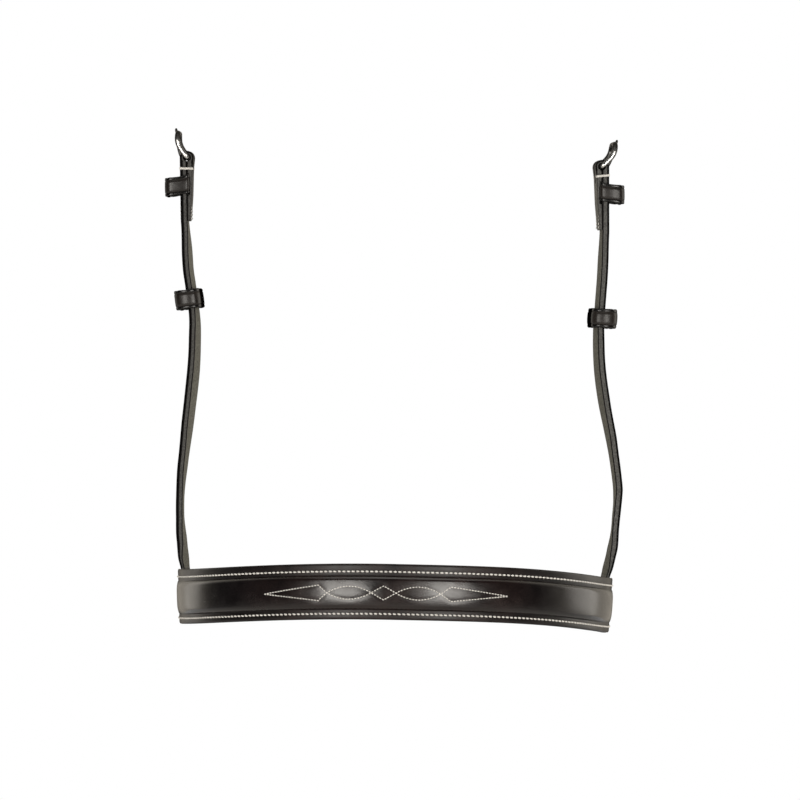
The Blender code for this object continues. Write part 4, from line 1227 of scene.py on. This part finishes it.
def end_stitches(end, across, finish):
    """The thread bars over the strap's edges under the fold, and the rows that hold the tail down."""
    sides = (1.0, -1.0)
    bars = [thread_bar(end, across, side, turn) for side in sides for turn in (0, 1)]
    join_threads(f"{end.prefix}_thread_bars", bars, finish)
    tail = []
    front = []
    start = KEEPER_FAR + TAIL_SETTLE + TAIL_ROW_ROOM
    count = int((TAIL_LENGTH - start - TAIL_ROW_ROOM) / TAIL_PITCH)
    on_strap = SEAM - LAYER_GAP - TAIL_THICKNESS
    for side in sides:
        spot = across * (side * (STRAP_WIDTH / 2 - TAIL_ROW_INSET))
        for step in range(count + 1):
            down = start + step * TAIL_PITCH
            tail.append((end.place(on_strap + SEAM_GAP, -down) + spot, end.along, end.outward * -1.0))
            front.append((end.place(FOLD_OUTER_RADIUS - SEAM_GAP, -down) + spot, end.along, end.outward))
    name = f"{end.prefix}_tail_stitches"
    stitch_row(name, tail + front, finish, TAIL_THREAD, TAIL_ARCH, TAIL_STITCH, 0.15)


# Hangers


def hanger_station(side, twist, base, point, ahead):
    """The outward and across directions of a twisted hanger at a point."""
    turn = radians(between(twist, (point.z - base.z) / HANGER_REACH))
    outward = Vector((side * cos(turn), sin(turn), 0.0))
    outward = (outward - ahead * outward.dot(ahead)).normalized()
    return outward, ahead.cross(outward)


def finish_strap(strip, end, across, node, keeper, lean, finishes):
    """Turn a strap back round its buckle, and add the buckle, the keeper and the stitches there."""
    add_fold(strip, end, across, STRAP_WIDTH / 2)
    strap = strip.piece(node.replace("_strap", "") + "_leather", finishes["strap"])
    slot_cut(strap, end, finishes["strap"])
    dress(strap, ROOT, node)
    make_keeper(keeper, end, finishes["keeper"])
    make_buckle(end, lean, finishes["steel"])
    end_stitches(end, across, finishes["thread"])


def hanger_strip(prefix, side, twist, hoop, curve):
    """The strap from its end between the band's layers, along its curve, to the fold's neck."""
    half = STRAP_WIDTH / 2
    base = curve[0]
    frames = []
    for index, point in enumerate(curve[1:-1], 1):
        ahead = (curve[index + 1] - curve[index - 1]).normalized()
        frames.append((point, *hanger_station(side, twist, base, point, ahead)))
    sewn_across = hoop.tangent if hoop.tangent.dot(frames[0][2]) > 0 else hoop.tangent * -1.0
    low = -BAND_WIDTH / 2 - SEWN_OVERHANG
    high = BAND_WIDTH / 2 - SEWN_TOP_ROOM
    strip = Strip()
    for step in range(HANGER_SEWN_STEPS + 1):
        place = hoop.place(HANGER_SEWN_FACE, low + (high - low) * step / HANGER_SEWN_STEPS)
        strip.add(place, hoop.normal, sewn_across, strip_profile(half, SEWN_THICKNESS))
    for point, out, across in frames:
        blend = smoothstep((point.z - base.z) / STATION_BLEND)
        out = (hoop.normal * (1 - blend) + out * blend).normalized()
        across = sewn_across * (1 - blend) + across * blend
        across = (across - out * across.dot(out)).normalized()
        thick = skived_thickness(point.z - base.z)
        bevel = OUTER_BEVEL[prefix]
        profile = strip_profile(half, thick, bevel=bevel, wear=EDGE_WEAR[prefix], backs=(0.0, FLESH))
        strip.add(point, out, across, profile)
    return strip


def make_hanger(prefix, side, shape, runner_share, lean, finishes):
    """A hanger strap from between the band's layers up to its buckle, with its keeper and its runner."""
    shares, twist, top_lean = shape
    hoop = HoopFrame(HANGER_ANGLE * side)
    base = hoop.place(HANGER_SEWN_FACE, BAND_WIDTH / 2)
    outward = Vector((side, 0.0, 0.0))
    points = [base + outward * (out * HANGER_REACH) + UP * (up * HANGER_REACH) for up, out in shares]
    curve = spline(points, STRAP_STEPS)
    rise = base.z + HANGER_REACH - curve[-1].z
    top = curve[-1] + UP * rise + outward * (rise * tan(top_lean))
    straight = (top - curve[-1]).normalized()
    neck = top - straight * FOLD_NECK
    curve += [curve[-1].lerp(neck, step / HANGER_NECK_STEPS) for step in range(1, HANGER_NECK_STEPS + 1)]
    strip = hanger_strip(prefix, side, twist, hoop, curve)
    out, _ = hanger_station(side, twist, base, top, straight)
    end = StrapEnd(top, straight, out, side, prefix)
    across = end.along.cross(end.outward)
    finish_strap(strip, end, across, prefix + "_hanger_strap", prefix + "_hanger_keeper", lean, finishes)
    coarse = spline(points, HANGER_STEPS)
    target = base.z + runner_share * HANGER_REACH
    index = min(range(1, len(coarse) - 1), key=lambda place: abs(coarse[place].z - target))
    ahead = (coarse[index + 1] - coarse[index - 1]).normalized()
    place = coarse[index] + ahead * RUNNER_RISE[prefix]
    make_runner(prefix + "_hanger_runner", prefix + " runner", place, ahead, outward, finishes["keeper"])


# The rear closure


def add_sewn_end(strip, side):
    """Start a strip between the band's layers."""
    for step in range(SEWN_STEPS):
        distance = HALF_BAND - SEWN_REACH + SEWN_REACH * step / SEWN_STEPS
        hoop = HoopFrame(side * angle_at(distance))
        profile = strip_profile(STRAP_WIDTH / 2, SEWN_THICKNESS)
        strip.add(hoop.place(SEWN_FACE, 0.0), hoop.normal, hoop.up, profile)


def make_chape(finishes):
    """The short rear strap, which bends round to the straight end that carries the rear buckle."""
    half = STRAP_WIDTH / 2
    strip = Strip()
    add_sewn_end(strip, 1.0)
    hoop = HoopFrame(angle_at(HALF_BAND))
    point = hoop.place(SEWN_FACE, 0.0)
    start = atan2(hoop.tangent.y, hoop.tangent.x)
    lean = atan2(hoop.up.dot(hoop.tangent.cross(UP)), hoop.up.z)
    bend = CHAPE_BEND_RADIUS * (pi - start)
    stride = (CHAPE_LEAD + bend) / CHAPE_BEND_STEPS

    def heading(gone):
        turn = start + (pi - start) * max(0.0, gone - CHAPE_LEAD) / bend
        return Vector((cos(turn), sin(turn), 0.0))

    for step in range(1, CHAPE_BEND_STEPS + 1):
        gone = stride * step
        point = point + heading(gone - stride / 2) * stride
        flat = heading(gone).cross(UP)
        tilt = lean * (1.0 - smoothstep(gone / (CHAPE_LEAD + bend)))
        outward = flat * cos(tilt) - UP * sin(tilt)
        upward = UP * cos(tilt) + flat * sin(tilt)
        strip.add(point, outward, upward, strip_profile(half, skived_thickness(gone)))
    straight = point + REARWARD_END * CHAPE_STRAIGHT
    outward = REARWARD_END.cross(UP)
    for step in range(1, 24):
        place = point.lerp(straight - REARWARD_END * FOLD_NECK, step / 24)
        strip.add(place, outward, UP, strip_profile(half, STRAP_THICKNESS))
    end = StrapEnd(straight, REARWARD_END, outward, 1.0, "rear")
    finish_strap(strip, end, UP, "rear_chape", "rear_keeper", REAR_BUCKLE_LEAN, finishes)
    place = straight - REARWARD_END * REAR_RUNNER_SETBACK
    make_runner("rear_runner", "rear runner", place, REARWARD_END, outward, finishes["keeper"])


def make_billet(finishes):
    """The long rear strap with its pointed end and its punched holes."""
    half = STRAP_WIDTH / 2
    strip = Strip()
    add_sewn_end(strip, -1.0)
    length = distance_at(BILLET_END_ANGLE) - HALF_BAND
    for step in range(1, BILLET_STEPS + 1):
        gone = length * step / BILLET_STEPS
        hoop = HoopFrame(-angle_at(HALF_BAND + gone))
        used = 1.0 - min(1.0, (length - gone) / BILLET_POINT)
        width = (BILLET_TIP_WIDTH + (STRAP_WIDTH - BILLET_TIP_WIDTH) * (1.0 - used ** 2) ** 0.5) / 2
        profile = [(u * width / half, v, tag) for u, v, tag in strip_profile(half, skived_thickness(gone))]
        strip.add(hoop.place(SEWN_FACE, 0.0), hoop.normal, hoop.up, profile)
    strap = strip.piece("rear_billet_leather", finishes["strap"])
    turns = [2 * pi * step / HOLE_STEPS for step in range(HOLE_STEPS)]
    for number in range(HOLE_COUNT):
        hoop = HoopFrame(-angle_at(HALF_BAND + length - FIRST_HOLE - HOLE_PITCH * number))
        rounds = []
        for level in (SEWN_FACE + CUT_OVERRUN, SEWN_FACE - STRAP_THICKNESS - CUT_OVERRUN):
            around = [(HOLE_RADIUS * sin(turn), hoop.tangent * (HOLE_RADIUS * cos(turn))) for turn in turns]
            rounds.append([hoop.place(level, height) + along for height, along in around])
        carve(strap, rounds, finishes["strap"])
    dress(strap, ROOT, "rear_billet")


# Stage, light and camera


def floor_material():
    """Pale floor that turns white for the camera away from the object."""
    paint = Paint(bpy.data.materials.new("pale_floor"))
    paint.coat({"Base Color": (0.80, 0.80, 0.80), "Roughness": 0.9, "Specular IOR Level": 0.0})
    ray = paint.add("ShaderNodeLightPath").outputs
    parts = paint.add("ShaderNodeSeparateXYZ", paint.place())
    behind = paint.spread(parts.outputs["Y"], 0.0, 1.0, 0.0, 0.6)
    seen = paint.larger(ray["Is Camera Ray"], ray["Is Transmission Ray"])
    seen = paint.larger(seen, paint.times(ray["Is Glossy Ray"], behind))
    length = paint.add("ShaderNodeVectorMath", paint.place(), operation="LENGTH").outputs["Value"]
    far = paint.spread(length, 0.0, 1.0, 0.3, FLOOR_RADIUS * 0.96)
    mix = paint.add("ShaderNodeMixShader", paint.times(seen, far))
    paint.feed(paint.tree.nodes["Principled BSDF"].outputs[0], mix.inputs[1])
    paint.feed(paint.add("ShaderNodeEmission").outputs[0], mix.inputs[2])
    paint.feed(mix.outputs[0], paint.tree.nodes["Material Output"].inputs["Surface"])
    return paint.made


def make_stage():
    work = bmesh.new()
    bmesh.ops.create_circle(work, cap_ends=True, segments=96, radius=FLOOR_RADIUS)
    mesh = bpy.data.meshes.new("floor")
    work.to_mesh(mesh)
    work.free()
    mesh.materials.append(floor_material())
    floor = bpy.data.objects.new("floor", mesh)
    floor.location = (0.0, 0.0, FLOOR_HEIGHT)
    bpy.context.scene.collection.objects.link(floor)


def make_world():
    """White for what the camera sees, and for all else a plain light that is pale behind the object."""
    world = bpy.data.worlds.new("studio")
    bpy.context.scene.world = world
    paint = Paint(world)
    ray = paint.add("ShaderNodeLightPath").outputs
    parts = paint.add("ShaderNodeSeparateXYZ", paint.add("ShaderNodeTexCoord").outputs["Generated"]).outputs
    sideways = paint.plus(parts["Y"], paint.times(parts["X"], 0.23))
    room = paint.mix(paint.spread(sideways, 0.0, 1.0, -0.08, 0.42), (0.03, 0.03, 0.03), ROOM_COLOUR)
    seen = paint.larger(ray["Is Camera Ray"], ray["Is Transmission Ray"])
    back = paint.tree.nodes["Background"]
    paint.feed(paint.mix(seen, room, (1.0, 1.0, 1.0)), back.inputs["Color"])
    back.inputs["Strength"].default_value = 1.0


def add_softbox(name, azimuth, elevation, distance, size, radiance):
    """A softbox at a compass angle from the camera's side that faces the object with a stated radiance."""
    turn = radians(azimuth)
    rise = radians(elevation)
    place = Vector((sin(turn) * cos(rise), -cos(turn) * cos(rise), sin(rise))) * distance
    data = bpy.data.lights.new(name, "AREA")
    data.shape = "RECTANGLE"
    data.size, data.size_y = size
    data.energy = radiance * pi * size[0] * size[1]
    data.color = LAMP_COLOUR
    lamp = bpy.data.objects.new(name, data)
    lamp.location = place
    lamp.rotation_mode = "QUATERNION"
    lamp.rotation_quaternion = (-place).to_track_quat("-Z", "Y")
    bpy.context.scene.collection.objects.link(lamp)


def make_lights():
    add_softbox("front_left_softbox", -24.0, 2.0, 2.6, (0.85, 1.25), 8.6)
    add_softbox("front_right_softbox", 23.0, 2.0, 2.6, (0.80, 1.25), 8.8)
    add_softbox("top_softbox", 0.0, 78.0, 2.4, (2.2, 1.4), 1.6)
    add_softbox("right_rear_softbox", 112.0, 8.0, 2.6, (1.5, 1.8), 1.6)
    add_softbox("left_rear_softbox", -130.0, 8.0, 2.6, (1.2, 1.8), 0.8)


def make_camera():
    data = bpy.data.cameras.new("camera")
    data.lens = CAMERA_LENS
    data.sensor_width = 36.0
    data.clip_end = 100.0
    camera = bpy.data.objects.new("camera", data)
    camera.location = CAMERA_PLACE
    turn = Matrix.Rotation(CAMERA_ROLL, 3, "Y") @ Matrix.Rotation(pi / 2, 3, "X")
    camera.rotation_mode = "QUATERNION"
    camera.rotation_quaternion = turn.to_quaternion()
    bpy.context.scene.collection.objects.link(camera)
    bpy.context.scene.camera = camera


def dress_core(finish):
    """The hidden core keeps its solid, with a real material."""
    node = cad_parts["raised_core"]
    node.data.materials.clear()
    node.data.materials.append(finish)


def make_finishes():
    """The looks of each kind of leather, of the thread and of the steel."""
    return {
        "band": leather(
            "band_leather", (0.0038, 0.0028, 0.0032), (0.0170, 0.0080, 0.0066), 0.39, (0.004, 0.0035, 0.0035),
            grain=0.10, specular=0.58, rim=(0.58, 0.90, 0.012), cool=(0.0085, 0.0070, 0.0076),
        ),
        "strap": leather(
            "strap_leather", (0.0075, 0.0066, 0.0064), (0.015, 0.0125, 0.012), 0.5, (0.122, 0.121, 0.115),
            specular=0.3, rim=(0.45, 0.85, 0.0),
        ),
        "keeper": leather(
            "keeper_leather", (0.008, 0.0066, 0.0058), (0.020, 0.0155, 0.0130), 0.31, (0.004, 0.0036, 0.0036),
            grain=0.12, specular=0.46, rim=(0.25, 0.70, 0.0), edge_finish=(-0.10, 0.0, 0.0),
        ),
        "lining": leather(
            "lining_leather", (0.014, 0.010, 0.009), (0.024, 0.018, 0.015), 0.58, (0.006, 0.005, 0.005),
        ),
        "core": leather("core_leather", (0.13, 0.08, 0.05), (0.19, 0.12, 0.07), 0.80, (0.16, 0.10, 0.06)),
        "thread": thread_material("thread", (0.90, 0.88, 0.84), (0.60, 0.57, 0.52)),
        "steel": steel_material("stainless_steel"),
    }


def main():
    bpy.context.scene.view_settings.view_transform = "Standard"
    finishes = make_finishes()
    count = int(BAND_LENGTH / BAND_STEP)
    distances = [-HALF_BAND + BAND_LENGTH * i / count for i in range(count + 1)]
    make_face(distances, finishes["band"])
    make_lining(distances, finishes["lining"])
    band_stitches(finishes["thread"])
    left = (LEFT_ROUTE_SHARES, LEFT_TWIST_SHARES, LEFT_TOP_LEAN)
    right = (RIGHT_ROUTE_SHARES, RIGHT_TWIST_SHARES, RIGHT_TOP_LEAN)
    make_hanger("left", -1.0, left, LEFT_RUNNER_SHARE, LEFT_BUCKLE_LEAN, finishes)
    make_hanger("right", 1.0, right, RIGHT_RUNNER_SHARE, RIGHT_BUCKLE_LEAN, finishes)
    make_chape(finishes)
    make_billet(finishes)
    dress_core(finishes["core"])
    make_stage()
    make_world()
    make_lights()
    make_camera()


main()
bpy.context.view_layer.update()
